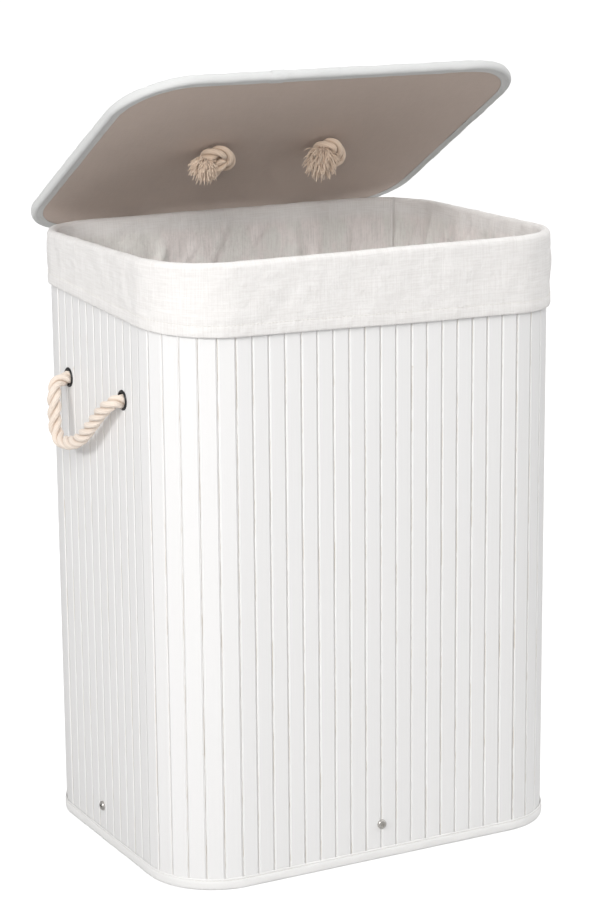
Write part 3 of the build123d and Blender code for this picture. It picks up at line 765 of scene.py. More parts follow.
def area_light(name, place, target, size, power, colour):
    data = bpy.data.lights.new(name, "AREA")
    data.shape = "RECTANGLE"
    data.size = data.size_y = size
    data.energy = power
    data.color = colour
    lamp = link(bpy.data.objects.new(name, data))
    direction = Vector(target) - Vector(place)
    lamp.matrix_world = Matrix.Translation(place) @ direction.to_track_quat("-Z", "Y").to_matrix().to_4x4()


area_light("key", (-1.35, -1.95, 1.55), (0, 0, 0.4), 1.1, 27, (1.0, 0.995, 0.985))
area_light("side", (-3.7, -1.25, 1.95), (0, 0, 0.45), 0.7, 49, (1.0, 0.995, 0.99))

# The floor lights the hamper as a pale grey surface, and the camera sees it white
floor_material, tree, shader, vector = start_material("studio_floor", 0.85)
floor_tone = noise_of(vector, 3.0, 2.0)
floor_colour = mix(floor_tone, rgb(0.50, 0.50, 0.50), rgb(0.52, 0.52, 0.52))
finish_material(shader, floor_colour, floor_tone, 0.1 * MM, 0.05)
shader.inputs["Emission Color"].default_value = rgb(1.0, 1.0, 1.0)
seen = node(tree, "LightPath").outputs["Is Camera Ray"]
tree.links.new(times(seen, 0.66), shader.inputs["Emission Strength"])
floor_corners = [(-30, -30, 0), (30, -30, 0), (30, 60, 0), (-30, 60, 0)]
floor = new_object("studio_floor", floor_material, floor_corners, [(0, 1, 2, 3)])
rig.stage(floor)

# ---- cords

ROPE_COTTON = rope_cotton(
    "rope_cotton",
    rgb(0.885, 0.765, 0.665), rgb(0.96, 0.875, 0.79), rgb(0.74, 0.61, 0.50), rgb(0.5, 0.36, 0.26),
)
# The lid's knots are the same rope, drawn browner and darker: painted shade under the lid and painted bounce light off
# the brown lining
SHADED_LID_KNOT_COTTON = rope_cotton(
    "lid_knot_cotton",
    rgb(0.92, 0.725, 0.58), rgb(0.98, 0.845, 0.70), rgb(0.70, 0.50, 0.34), rgb(0.37, 0.22, 0.12),
)

# Along the holes, down the face and out of it, in millimetres, as the rope's own route
side_route = [
    (58.5, 0.8, -9), (58.5, 0.8, 4), (58, 2, 9.5), (56, 5, 14.5), (53, 12, 17.5), (50.6, 26, 18.5),
    (50, 40, 19), (43, 53, 18.5), (24, 53, 17), (-2, 45, 16.5), (-24, 27.5, 15), (-42, 12, 13.5),
    (-57, 2, 11), (-58.5, 0.8, 4), (-58.5, 0.8, -9),
]
lid_route = [
    (58.5, 0, -12), (58.5, 0, 7.7), (58.5, 7, 19), (54, 27, 14), (40, 46, 8.5), (14, 55, 7), (-14, 54, 7),
    (-41, 44, 8.5), (-55, 25, 14), (-58.5, 7, 19), (-58.5, 0, 7.7), (-58.5, 0, -12),
]


def rope_handle(label, route, place, root, length):
    """A handle's rope from eyelet to eyelet, which bends between its own body and root, the body that it
    hangs from."""
    name = f"{label}_rope_handle"
    line = smooth_line([place(*(v * MM for v in point)) for point in route])
    made = face_outwards(new_object(name, ROPE_COTTON, *rope_skin(line, ROPE_SKIN)))
    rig.replaces(made, f"{label}_handle_rope")
    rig.slot(made, "rope")
    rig.cord(
        made, exit=place(HALF_HOLES, 0, 0), length=length, diameter=ROPE, far_end="object", stiffness="limp",
        lay="hanging", path=[tuple(p) for p in line],
    )
    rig.blend(made, root, f"{label}_handle", place(0, 0.5 * MM, 2.5 * MM), place(0, 7 * MM, 12 * MM))


def side_place(side):
    """Turns distances along, down and out of a side wall's handle into points. side is -1 on the left."""
    return lambda along, down, out: Vector((side * (WIDTH / 2 + out), HANDLE_Y + along, HANDLE_Z - down))


def lid_place(along, down, out):
    return lid_point(along, down - LID_DEPTH / 2, LID_TOP_Z + out)


rope_handle("left", side_route, side_place(-1), "wall", 0.209)
rope_handle("right", side_route, side_place(1), "wall", 0.209)
rope_handle("lid", lid_route, lid_place, "lid", 0.231)

# ---- knots

# A knot is the rope from its hole, the tail that comes out of it, and the way, length and spread of the
# tail's cut yarns: along the holes, down and out of the face that the knot lies on, in millimetres
wall_knot = (
    [(0, 0, -7), (0, 0, 5), (3, 6, 8), (12, 8, 8), (17, 0, 11), (13, -9, 17), (2, -5, 23), (-10, 3, 21),
     (-16, 10, 14), (-11, 15, 7), (0, 12, 6), (8, 15, 10)],
    [(0, 12, 6), (8, 15, 10), (4, 17, 17), (-3, 19, 19)], (-0.5, 1.0, 0.3), 15, 0.75,
)
left_lid_knot = (
    [(0, 0, -7), (0, 0, 6), (6, -4, 13), (7, -15, 14), (2, -24, 10), (-7, -27, 8), (-16, -23, 8),
     (-20, -13, 9), (-20, -4, 14), (-14, 1, 19), (-8, -4, 19.5), (-4, -11, 17), (-1, -19, 12)],
    [(-11, -15, 12), (-18, -19, 15), (-23, -20, 17.5)], (-0.8, -0.2, 0.75), 12.5, 1.05,
)
right_lid_knot = (
    [(0, 0, -7), (0, 0, 6), (6, 0, 14), (5, -9, 17), (0, -21, 13), (-9, -30, 9), (-18, -25, 8),
     (-23, -13, 10), (-20, -3, 15), (-11, 1, 20), (-3, -7, 20), (2, -14, 16)],
    [(-10, -18, 12), (-16, -21, 14), (-20, -21, 17)], (-0.5, -0.2, 0.95), 16.5, 1.15,
)


KNOT_SKIN = ROPE_SKIN * 0.94
TAIL_SKIN = ROPE_SKIN * 0.85
CUT_YARNS = 330


def knot(name, shape, place, body, replaced, seed, mirror=1, cotton=ROPE_COTTON):
    """An overhand knot in a rope's end, with the cut yarns of its tail fanned out."""
    rope_route, tail_route, way, reach, spread = shape

    def placed(point):
        along, down, out = point
        return place(mirror * along * MM, down * MM, out * MM)

    rope_line = smooth_line([placed(point) for point in rope_route], 14, 4)
    tail_line = smooth_line([placed(point) for point in tail_route], 10, 3)
    direction = placed(way) - placed((0, 0, 0))
    draws = random.Random(seed)
    parts = [
        rope_skin(rope_line, KNOT_SKIN, seed * 1.1),
        rope_skin(tail_line, TAIL_SKIN, seed * 0.7),
        yarn_brush(tail_line[-1], direction, ROPE_SKIN, reach * MM, CUT_YARNS, spread, draws),
    ]
    piece(name, joined(parts), cotton, body, "rope", replaced)


def under_lid(x):
    return lambda along, down, out: lid_point(x + along, down - LID_DEPTH / 2, -out)


def inside_wall(side, y):
    face = WIDTH / 2 - 4 * MM
    return lambda along, down, out: Vector((side * (face - out), HANDLE_Y + y + along, HANDLE_Z - down))


knot("lid_knot_left", left_lid_knot, under_lid(-HALF_HOLES), "lid", "lid_knots", 3, cotton=SHADED_LID_KNOT_COTTON)
knot("lid_knot_right", right_lid_knot, under_lid(HALF_HOLES), "lid", "lid_knots", 8, cotton=SHADED_LID_KNOT_COTTON)
for side, label in SIDES:
    for end, name in enumerate(("front", "back")):
        place, seed = inside_wall(side, HOLES[end]), 11 + side + end
        knot(f"{label}_{name}_knot", wall_knot, place, "wall", f"{label}_handle_knots", seed, side)

# ---- eyelets

EYELET_METAL = metal("eyelet_metal", rgb(0.045, 0.045, 0.048), 0.34, 700.0, 0.85, rgb(0.09, 0.085, 0.08))


def eyelets(name, places, through, body):
    """Rolled eyelets: a domed flange outside, a barrel, and a flatter one inside. through is how thick the
    wall or lid is between them, in millimetres."""
    profile = [
        (6.7, 0.1), (6.75, 0.9), (7.2, 1.3), (7.8, 1.38), (8.4, 1.15), (8.85, 0.7), (9.05, 0.12), (8.9, 0.05),
        (7.3, 0.05), (7.3, -through - 0.05), (9.2, -through - 0.05), (9.4, -through - 0.4),
        (8.6, -through - 0.9), (7.5, -through - 1.15), (6.75, -through - 0.8),
    ]
    turned = lathe([(radius * MM, height * MM) for radius, height in profile], places)
    piece(name + "_rolled", turned, EYELET_METAL, body, "eyelets", name, smooth_angle=50)


along_y = Vector((0, 1, 0))
for side, label in SIDES:
    out, x = Vector((side, 0, 0)), side * WIDTH / 2
    places = [(Vector((x, HANDLE_Y + y, HANDLE_Z)), along_y, out) for y in HOLES]
    eyelets(f"{label}_handle_eyelets", places, 3.85, "wall")
eyelets("lid_eyelets", [(lid_place(x, 0, 0), Vector((1, 0, 0)), LID_Z) for x in HOLES], 6.3, "lid")

# ---- liner

# The liner's inside colours, darker than its cuff's, are painted shade under the lid
LINER_COTTON = cloth(
    "liner_cotton", rgb(0.92, 0.905, 0.892), rgb(0.79, 0.765, 0.745), 0.62 * MM, 0.55, 5.0,
    inside=(0.076, rgb(0.90, 0.845, 0.825), rgb(0.84, 0.83, 0.795), rgb(0.69, 0.655, 0.635)),
)
THREAD = cloth("cotton_thread", rgb(0.9, 0.88, 0.85), rgb(0.78, 0.75, 0.7), 0.3 * MM)

# The wall's stations, started at the bag's seam, which hangs in the back-right corner
SEAM_TURN = radians(42)
wall_stations = outline(WIDTH, DEPTH, CORNER, 3.6 * MM)
count = len(wall_stations)
off_seam = [(s[2] - sin(SEAM_TURN)) ** 2 + (s[3] - cos(SEAM_TURN)) ** 2 for s in wall_stations]
seam_j = off_seam.index(min(off_seam))
wall_stations = [wall_stations[(j + seam_j) % count][:4] + (wall_stations[j][4],) for j in range(count)]

# The liner's cloth: how high it goes over the rim, how far out its cuff and its bag are from the wall's face,
# the hem's height and the bag's floor
ROLL_Z = 551 * MM
CUFF = 3.2 * MM
BAG = -6.6 * MM
HEM = 11.2 * MM
BAG_FLOOR = 27.8 * MM
CUFF_STEPS, ROLL_STEPS = 17, 10

# The buttonholes that the hinge straps go through
STRAP_X = 95 * MM
SLOT_HALF = 13.4
SLOT_Z = (514.0 * MM, 523.4 * MM)


def cuff_foot(x, y):
    """The cuff's lower edge hangs a little lower at the front and right."""
    return 497.7 * MM - 0.02 * x + 0.054 * (y - BODY_Y) + 0.7 * MM * rough(x, y, 0, 9)


def smooth(value, low, high):
    t = min(max((value - low) / (high - low), 0.0), 1.0)
    return t * t * (3 - 2 * t)


def cuff_swell(p, along):
    """How far the cuff's cloth stands out of its mean surface."""
    big = 0.9 * rough(p.x, p.y, p.z, 19)
    small = 0.75 * rough(p.x, p.y, p.z * 0.8, 48) + 0.5 * rough(p.x, p.y, p.z, 105)
    tuck = 0.45 * ripple(along * 110, p.z * 35, 3.0) - 0.7 * abs(ripple(along * 60, p.z * 90, 8.0))
    return max(big + small + tuck, -0.55) * MM


def bag_fold(p, along):
    """How far the bag's cloth stands in from the wall, over hanging folds, slanted creases and the knots."""
    z = p.z
    loose = smooth(z, 552 * MM, 505 * MM)
    drift = 0.012 * ripple(along * 14, z * 22, 5.0)
    hanging = ripple((along + drift) * 30, z * 4, 1.0)
    slant = ripple(along * 38 - z * 12, z * 15, 7.0)
    crease = (1 - min(abs(ripple((along + 2 * drift) * 34 + z * 7, z * 7, 4.0)) * 6, 1.0)) ** 2
    crinkle = 0.45 * ripple(along * 120, z * 75, 2.0) + 0.5 * ripple(along * 55, z * 48, 6.0)
    depth = 0.6 + 1.5 * max(hanging, -0.4) * (0.6 + 4.6 * loose) + 0.8 * slant * (0.6 + 2.4 * loose)
    depth += crease * (0.9 + 4.6 * loose) + crinkle * (1 + 0.6 * loose)
    for side in (-1, 1):
        if p.x * side > WIDTH / 2 - 30 * MM:
            for y in HOLES:
                away = hypot(p.y - HANDLE_Y - y, (z - HANDLE_Z + 12 * MM) * 0.72) / (27 * MM)
                depth += 33 * exp(-(away**4))
    return max(depth, -0.35) * MM


# The liner's rows, from the hem's raw edge to the middle of the bag's floor: the part that a row is in and
# two numbers, which are out and up from the cuff's foot (hem), out and the share of the way up (cuff), out
# and the height (roll and bag), or the share of the floor and its height (bottom)
liner_rows = [("hem", out * MM, rise * MM) for out, rise in (
    (1.9, 3.0), (1.8, 0.8), (2.4, -0.1), (3.2, 0.3), (3.6, 1.6), (3.6, 5.0), (3.5, 8.4), (3.35, 9.7),
    (3.02, 10.4), (3.15, 11.2),
)]
liner_rows += [("cuff", CUFF, step / CUFF_STEPS) for step in range(1, CUFF_STEPS)]
for turn in [pi * step / ROLL_STEPS for step in range(ROLL_STEPS + 1)]:
    liner_rows.append(("roll", -1.7 * MM + 4.9 * MM * cos(turn), ROLL_Z + 5.0 * MM * sin(turn)))
for height in [547.5 - 3.2 * i for i in range(20)] + [480 - 9.5 * i for i in range(47)]:
    liner_rows.append(("bag", BAG - 7 * MM * (ROLL_Z - height * MM) / ROLL_Z, height * MM))
for turn, drop in ((3.0, 36.0), (7.0, 30.5), (13.0, 28.2)):
    liner_rows.append(("bag", BAG - 6.8 * MM - turn * MM, drop * MM))
liner_rows += [("bottom", share, BAG_FLOOR) for share in (0.86, 0.72, 0.58, 0.44, 0.3, 0.16, 0.05)]


def liner_point(kind, first, second, station, foot, edge_point):
    """The point of one of the liner's rows at a station. edge_point is the bag's last one there."""
    along = station[4]
    if kind == "hem":
        p = wall_point(station, first, foot + second)
        if second > 1 * MM and first > 2.9 * MM:
            p = wall_point(station, first + 0.5 * cuff_swell(p, along), foot + second)
    elif kind == "cuff":
        z = foot + HEM + (ROLL_Z - foot - HEM) * second
        p = wall_point(station, first + cuff_swell(wall_point(station, first, z), along), z)
    elif kind == "roll":
        p = wall_point(station, first, second)
        puff = 0.5 * cuff_swell(p, along) + 0.35 * MM * ripple(along * 60, second * 60, 9.0)
        p = wall_point(station, first + puff * copysign(1, first + 1.7 * MM), second + 0.6 * puff)
    elif kind == "bag":
        p = wall_point(station, first - bag_fold(wall_point(station, first, second), along), second)
    else:
        p = Vector((edge_point.x * first, BODY_Y + (edge_point.y - BODY_Y) * first, second))
        p.z += (0.8 + 1.4 * max(rough(p.x, p.y, 0, 16), -0.5) + 0.6 * rough(p.x, p.y, 0, 40)) * MM
    return p


cuff_feet = [cuff_foot(*wall_point(station, 0, 0).xy) for station in wall_stations]
edge_ring = [None] * count
row_points = []
for kind, first, second in liner_rows:
    ring = [liner_point(kind, first, second, *places) for places in zip(wall_stations, cuff_feet, edge_ring)]
    if kind == "bag":
        edge_ring = ring
    row_points.append(ring)

vertices, uvs = [], []
profile_length = 0.0
for i, ring in enumerate(row_points):
    if i:
        profile_length += (ring[0] - row_points[i - 1][0]).length
    vertices += ring
    uvs += [(station[4], profile_length) for station in wall_stations]
rows = len(liner_rows)
faces = []
for face in grid_faces(rows, count):
    middle = sum((vertices[v] for v in face[1:]), vertices[face[0]]) / 4
    by_slot = middle.y > BACK_Y + 1.2 * MM and abs(abs(middle.x) - STRAP_X) < (SLOT_HALF + 0.2) * MM
    if not (by_slot and SLOT_Z[0] < middle.z < SLOT_Z[1]):
        faces.append(face)
faces.append(tuple((rows - 1) * count + j for j in range(count)))
liner = new_object("liner_bag", LINER_COTTON, vertices, faces, uvs)


def drop_loose(work):
    """Removes the points inside the buttonholes."""
    bmesh.ops.delete(work, geom=[v for v in work.verts if not v.link_faces], context="VERTS")


worked(liner, drop_loose)
thicken(liner, 0.8 * MM, -1)
put(liner, "wall", "liner_cotton", "liner")
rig.sheet(liner, flat=(1.33, 0.70), held="hung", rests_on=["top_binding"], area=0.91)


def stitches(name, points, normals, body, slot, every=3.6 * MM, dash=2.5 * MM, radius=0.32 * MM):
    """Stitches along a line of points: short dashes of thread, tapered at both ends where they go down into
    the cloth. normals are the directions off the cloth, one for each point."""
    vertices, faces, uvs = [], [], []
    wait = 0.0
    sides, rings = 6, 5
    for a, b, normal in zip(points, points[1:], normals):
        length = (b - a).length
        while wait < length:
            middle = a.lerp(b, wait / length)
            direction = (b - a).normalized()
            side = direction.cross(normal).normalized()
            faces += tube_faces(len(vertices), rings, sides)
            for ring in range(rings):
                t = ring / (rings - 1)
                lift = sin(pi * t)
                centre = middle + direction * (t - 0.5) * dash + normal * radius * (lift * 1.1 - 0.7)
                size = radius * (0.45 + 0.55 * lift)
                for k in range(sides):
                    turn = 2 * pi * k / sides
                    vertices.append(centre + side * cos(turn) * size + normal * sin(turn) * size)
                    uvs.append((turn * radius, t * dash))
            wait += every
        wait -= length
    piece(name, (vertices, faces, uvs), THREAD, body, slot)


HEM_ROW = 8
hem_normals = [Vector((s[2], s[3], 0)) for s in wall_stations + wall_stations[:1]]
hem_line = [p + n * 0.25 * MM for p, n in zip(row_points[HEM_ROW] + row_points[HEM_ROW][:1], hem_normals)]
stitches("cuff_hem_stitches", hem_line, hem_normals, "wall", "liner_cotton")


def ribbon(points, side, half_width, half_thick):
    """A soft-edged ribbon along points, as wide as can be along side."""
    section = []
    for sign_x, sign_y in ((1, 1), (-1, 1), (-1, -1), (1, -1)):
        for share in (0, 0.5, 1):
            turn = pi / 2 * (share if sign_x * sign_y > 0 else 1 - share)
            x = half_width - half_thick + half_thick * cos(turn)
            section.append((sign_x * x, sign_y * half_thick * sin(turn)))
    vertices, uvs = [], []
    travelled = 0.0
    for i, (point, (tangent, _, _)) in enumerate(zip(points, tube_frames(points))):
        if i:
            travelled += (point - points[i - 1]).length
        across = (side - tangent * side.dot(tangent)).normalized()
        normal = tangent.cross(across)
        for x, y in section:
            vertices.append(point + across * x + normal * y)
            uvs.append((travelled, x))
    return vertices, tube_faces(0, len(points), len(section)), uvs


# The bag's seam, from the roll over the rim down to its floor
nx, ny = wall_stations[0][2:4]
seam_line = [ring[0] for ring, row in zip(row_points, liner_rows) if row[0] in ("roll", "bag")][4:]
seam_line = [p + Vector((-nx, -ny, 0)) * 0.15 * MM for p in seam_line]
seam = ribbon(seam_line, Vector((-ny, nx, 0)), 0.8 * MM, 0.32 * MM)
piece("liner_seam", seam, LINER_COTTON, "wall", "liner_cotton")

for side, label in SIDES:
    low, high = SLOT_Z
    corners = [(-SLOT_HALF, low), (SLOT_HALF, low), (SLOT_HALF, high), (-SLOT_HALF, high)]
    line = []
    for (x0, z0), (x1, z1) in zip(corners, corners[1:] + corners[:1]):
        for t in (0.12, 0.5, 0.88):
            x = side * STRAP_X + (x0 + (x1 - x0) * t) * MM
            line.append(Vector((x, BACK_Y + CUFF + 0.1 * MM, z0 + (z1 - z0) * t)))
    line.append(line[0])
    name, outward = f"{label}_buttonhole_stitches", [along_y] * len(line)
    stitches(name, line, outward, "wall", "liner_cotton", 1.1 * MM, 1.7 * MM, 0.6 * MM)

# ---- bindings

WHITE_TAPE = tape_cloth("white_tape", rgb(0.82, 0.815, 0.80), rgb(0.72, 0.71, 0.695))
# The lid's tape is the same white tape as the foot's, drawn darker as painted shade under the lid
SHADED_LID_TAPE = tape_cloth("lid_tape_cloth", rgb(0.765, 0.77, 0.765), rgb(0.66, 0.665, 0.66))
FOOT_TAPE = tape_cloth("foot_tape_cloth", rgb(0.925, 0.92, 0.91), rgb(0.85, 0.84, 0.83))


# A tape's stitches: how far apart, how long and how thick
TAPE_STITCH = (3.1 * MM, 2.1 * MM, 0.26 * MM)


def binding(name, stations, profile, place, wave, tape, body, replaced):
    """Folded tape round an outline. profile is a closed loop of (out, up) in millimetres, and wave is how far
    in millimetres the tape strays from it."""
    vertices, uvs = [], []
    spans = [0.0]
    for (a, b), (c, d) in zip(profile, profile[1:]):
        spans.append(spans[-1] + hypot(c - a, d - b) * MM)
    for station in stations:
        along = station[4]
        for (out, rise), span in zip(profile, spans):
            swell = wave * ripple(along * 45, span * 150, 5.0)
            swell += wave * 0.6 * ripple(along * 120, span * 60, 8.0)
            vertices.append(place(station, out * MM, rise * MM, swell * MM))
            uvs.append((along, span))
    faces = grid_faces(len(stations), len(profile), True)
    piece(name, (vertices, faces, uvs), tape, body, "cotton_tape", replaced, smooth_angle=60)


foot_profile = [
    (0.7, 10.2), (0.95, 10.6), (1.45, 10.45), (1.6, 9.7), (1.58, 9.2), (1.25, 8.8), (1.6, 8.3), (1.75, 6.0),
    (1.78, 3.5), (1.7, 1.8), (1.3, 0.6), (0.4, 0.06), (-1.6, 0.03), (-3.6, 0.06), (-4.5, 0.5), (-4.95, 1.6),
    (-5.0, 5.0), (-4.95, 9.8), (-4.5, 10.5), (-4.0, 10.0), (-3.98, 5.0), (-3.98, 1.2), (-1.5, 1.0),
    (0.62, 1.2), (0.62, 5.0),
]


def foot_place(station, out, rise, swell):
    """Only the tape's outer face strays."""
    stray = max(swell, -0.1 * MM) if out > 0.9 * MM else 0
    return wall_point(station, out + stray, max(rise, 0))


binding("bottom_tape", wall_stations, foot_profile, foot_place, 0.5, FOOT_TAPE, "wall", "bottom_binding")
foot_line = [wall_point(s, 1.42 * MM, 8.8 * MM) for s in wall_stations + wall_stations[:1]]
stitches("bottom_tape_stitches", foot_line, hem_normals, "wall", "cotton_tape", *TAPE_STITCH)

lid_stations = outline(LID_WIDTH, LID_DEPTH, LID_CORNER, 3.2 * MM)
lid_profile = [
    (-10.0, 0.8), (-10.25, 0.5), (-9.7, 0.28), (-9.0, 0.3), (-8.5, 0.52), (-8.0, 0.28), (-6.2, 0.24),
    (-5.0, 0.42), (-4.4, -0.05), (-3.2, -0.3), (-1.9, 0.08), (-0.75, 0.9), (-0.1, 2.2), (0.15, 4.07),
    (-0.1, 5.95), (-0.75, 7.25), (-1.9, 8.06), (-3.2, 8.42), (-4.4, 8.2), (-5.0, 7.75), (-6.2, 7.9),
    (-8.0, 7.87), (-8.5, 7.63), (-9.0, 7.85), (-9.7, 7.87), (-10.25, 7.65), (-10.0, 7.35), (-6.0, 7.3),
    (-1.6, 7.2), (-1.0, 4.07), (-1.6, 0.95), (-6.0, 0.85),
]
LID_OUTER = 26  # of those points, the ones that are round the outside of the fold


def lid_edge(station, out, rise, swell):
    """A point of the lid's tape, which strays away from the middle of its fold, on its outside only."""
    x, y, nx, ny = station[:4]
    reach = LID_CORNER + out
    if out > -0.97 * MM or rise < 0.6 * MM or rise > 7.5 * MM:
        angle = atan2(rise - LID_MIDDLE * MM, max(out + 4 * MM, 0.5 * MM))
        reach += swell * max(cos(angle), 0)
        rise += swell * sin(angle) * 0.8
    return lid_point(x + nx * reach, y + ny * reach - LID_DEPTH / 2, rise)


binding("lid_tape", lid_stations, lid_profile, lid_edge, 0.55, SHADED_LID_TAPE, "lid", "lid_binding")
for label, rise, facing in (("under", 0.4 * MM, -1), ("upper", 7.75 * MM, 1)):
    line = [lid_edge(s, -8.5 * MM, rise, 0) for s in lid_stations + lid_stations[:1]]
    stitches(f"lid_{label}_stitches", line, [LID_Z * facing] * len(line), "lid", "cotton_tape", *TAPE_STITCH)

# The tape's end is lapped over its start at the front edge, a little left of the middle. It is an outer and
# an inner layer of the fold's outside, in millimetres
LAP_START, LAP_END, LAP_STEPS = -68, -52, 9
LAP_LAYERS = (0.62, 0.05)
FOLD_OUT = -4.5
vertices, uvs = [], []
for i in range(LAP_STEPS):
    t = i / (LAP_STEPS - 1)
    for thick in LAP_LAYERS:
        for k, (out, rise) in enumerate(lid_profile[:LID_OUTER]):
            away = hypot(out - FOLD_OUT, rise - LID_MIDDLE)
            grow = 1 + thick * (1.0 if t > 0.05 else 0.4) / away
            slant = 3.2 * abs(rise - LID_MIDDLE) / LID_MIDDLE
            x = LAP_START + (LAP_END - slant - LAP_START) * t
            y = -LID_DEPTH - (FOLD_OUT + (out - FOLD_OUT) * grow) * MM
            vertices.append(lid_point(x * MM, y, (LID_MIDDLE + (rise - LID_MIDDLE) * grow) * MM))
            uvs.append((x * MM, k * MM))
around = 2 * LID_OUTER
ring = list(range(LID_OUTER)) + list(range(around - 1, LID_OUTER - 1, -1))
faces = []
for start in range(0, (LAP_STEPS - 1) * around, around):
    for k in range(around):
        a, b = start + ring[k], start + ring[(k + 1) % around]
        faces.append((a, b, b + around, a + around))
for start in (0, (LAP_STEPS - 1) * around):
    for a in range(start, start + LID_OUTER - 1):
        faces.append((a, a + 1, a + LID_OUTER + 1, a + LID_OUTER))
piece("lid_tape_lap", (vertices, faces, uvs), SHADED_LID_TAPE, "lid", "cotton_tape", smooth_angle=60)

# ---- lid lining

TAUPE = cloth(
    "lid_lining_cloth", rgb(0.67, 0.545, 0.47), rgb(0.545, 0.44, 0.376), 0.55 * MM, 0.3, 0.3, 0.88, True, 0.3
)
vertices, uvs = [], []
shares = [1.0, 0.985, 0.96, 0.92, 0.86, 0.78, 0.68, 0.56, 0.44, 0.32, 0.2, 0.08]
for share in shares:
    for x, y, nx, ny, along in lid_stations:
        reach = LID_CORNER - 8.6 * MM
        px, py = (x + nx * reach) * share, (y + ny * reach) * share
        sag = 0.22 * MM * rough(px, py, 0, 22) + 0.12 * MM * rough(px, py, 1, 60)
        pucker = 0.3 * MM * smooth(share, 0.9, 1.0) * ripple(along * 90, 0, 2.0)
        vertices.append(lid_point(px, py - LID_DEPTH / 2, 0.78 * MM + sag + pucker))
        uvs.append((px, py))
ring_size = len(lid_stations)
faces = grid_faces(len(shares), ring_size)
faces.append(tuple((len(shares) - 1) * ring_size + j for j in range(ring_size)))
lining = new_object("lid_lining_sheet", TAUPE, vertices, faces, uvs)
thicken(lining, 0.5 * MM, 1 if lining.data.polygons[0].normal.dot(LID_Z) > 0 else -1)
put(lining, "lid", "lid_lining_cloth", "lid_lining")
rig.sheet(lining, flat=(0.383, 0.301), held="stretched", rests_on=["lid_board"])

# ---- hinge straps

# A strap's two joints: where it leaves the back wall, and where it folds under the lid
PIVOT = Vector((0, 136.8 * MM, 518.695 * MM))
FOLD = Vector((0, 169.416 * MM, 538.598 * MM))
TAB_WAY = Vector((0, -0.29, 0.957))
TAIL_Y = BACK_Y + 0.75 * MM
span = (FOLD - PIVOT).normalized()


def strap(name, points, x, bodies, start, end, *replaced):
    """A length of strap along points, moved to x, which bends from one body to the next between start and
    end."""
    line = smooth_line([Vector((x, p.y, p.z)) for p in points], 8)
    shape = ribbon(line, Vector((1, 0, 0)), 12 * MM, 0.6 * MM)
    made = face_outwards(new_object(name, WHITE_TAPE, *shape, smooth_angle=60))
    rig.slot(made, "cotton_tape")
    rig.replaces(made, *replaced)
    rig.blend(made, *bodies, start, end)


lower_points = [Vector((0, TAIL_Y, z * MM)) for z in (466, 484, 502, 513)] + [
    PIVOT - span * 1.2 * MM, PIVOT + span * 7 * MM, PIVOT + span * 14 * MM, PIVOT + span * 20.5 * MM,
]
upper_points = [
    PIVOT + span * 17.5 * MM, PIVOT + span * 26 * MM, FOLD - span * 4 * MM, FOLD + span * 0.6 * MM,
    lid_point(0, -3 * MM, -0.95 * MM), lid_point(0, -10 * MM, -0.75 * MM), lid_point(0, -22 * MM, -0.75 * MM),
]
for side, label in SIDES:
    x = side * STRAP_X
    pivot, fold = Vector((x, 0, 0)) + PIVOT, Vector((x, 0, 0)) + FOLD
    strap(f"{label}_strap_lower", lower_points, x, ("wall", "hinge_straps"),
          pivot - span * 2 * MM, pivot + span * 4 * MM, "strap_tails", "hinge_straps")
    strap(f"{label}_strap_upper", upper_points, x, ("hinge_straps", "lid"),
          fold - TAB_WAY * 1.0 * MM, fold + TAB_WAY * 4 * MM, "strap_tabs")
    # The tab is sewn down round its edges and across, with no point twice in a row
    corners = [(-9.5, -7), (9.5, -7), (9.5, -19.5), (-9.5, -19.5), (-9.5, -7), (9.5, -19.5)]
    tab_line = []
    for (x0, y0), (x1, y1) in zip(corners, corners[1:]):
        for t in (0, 0.25, 0.5, 0.75, 1):
            p = lid_point(x + (x0 + (x1 - x0) * t) * MM, (y0 + (y1 - y0) * t) * MM, -1.42 * MM)
            if not tab_line or (p - tab_line[-1]).length > 1e-6:
                tab_line.append(p)
    name, off_tab = f"{label}_tab_stitches", [-LID_Z] * len(tab_line)
    stitches(name, tab_line, off_tab, "lid", "cotton_tape", 2.6 * MM, 1.8 * MM, 0.26 * MM)

# ---- materials of the CAD nodes

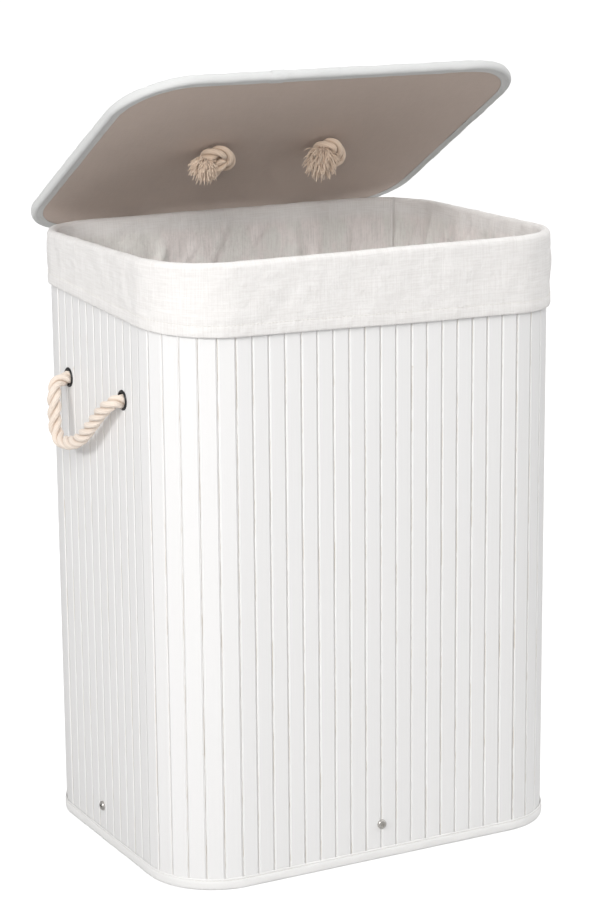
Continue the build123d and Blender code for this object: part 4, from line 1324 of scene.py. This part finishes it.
middle_gap = BODY_Y + SLAT_PITCH / 2
slat_materials = {}
for label, across, start in (
    ("front", "x", 0.0), ("back", "x", 0.0), ("right", "y", middle_gap), ("left", "y", middle_gap),
):
    slat_materials[f"{label}_slats"] = slat_paint(f"{label}_paint", across, start, SLAT_PITCH)
slat_materials["lid_slats"] = slat_paint("lid_paint", "x", 0.0, (LID_WIDTH - 1.9 * MM) / LID_SLATS)
inner_x, inner_y = WIDTH / 2 - CORNER, DEPTH / 2 - CORNER
for label, side, end in (
    ("front_right", 1, -1), ("back_right", 1, 1), ("back_left", -1, 1), ("front_left", -1, -1),
):
    centre = (side * inner_x, BODY_Y + end * inner_y, side, end)
    paint = slat_paint(f"{label}_paint", "turn", -inner_x, SLAT_PITCH, centre)
    slat_materials[f"{label}_corner_slats"] = paint

NICKEL = metal("nickel_plate", rgb(0.62, 0.60, 0.57), 0.3, 900.0, 1.0, rgb(0.4, 0.38, 0.36))
ZINC = metal("zinc_plate", rgb(0.6, 0.61, 0.62), 0.42, 260.0, 1.0, rgb(0.42, 0.43, 0.45))
STEEL = metal("drawn_steel", rgb(0.5, 0.5, 0.5), 0.35, 600.0, 1.0, rgb(0.3, 0.29, 0.28))
BACKING = cloth(
    "backing_cloth", rgb(0.78, 0.71, 0.60), rgb(0.64, 0.56, 0.45), 0.6 * MM, 0.5, 0.3, 0.9, False
)
PLAIN_TAPE = cloth(
    "plain_tape", rgb(0.88, 0.87, 0.84), rgb(0.78, 0.76, 0.72), 0.6 * MM, 0.4, 0.3, 0.85, False
)
PLY = plywood("plywood")
plain = {
    "wall_backing": BACKING, "wall_seam_tape": PLAIN_TAPE, "top_binding": PLAIN_TAPE, "rim_wire": STEEL,
    "base_panel": PLY, "lid_board": PLY, "base_brackets": ZINC, "base_screws": NICKEL,
    "base_washers": NICKEL, "base_nuts": NICKEL, "strap_rivets": NICKEL, "strap_washers": NICKEL,
}
for name, material in {**slat_materials, **plain}.items():
    nodes[name].data.materials.clear()
    nodes[name].data.materials.append(material)

low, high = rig.bounds()
with open("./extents.json", "w") as out:
    json.dump({"cad": [list(cad_low), list(cad_high)], "visual": [list(low), list(high)]}, out)
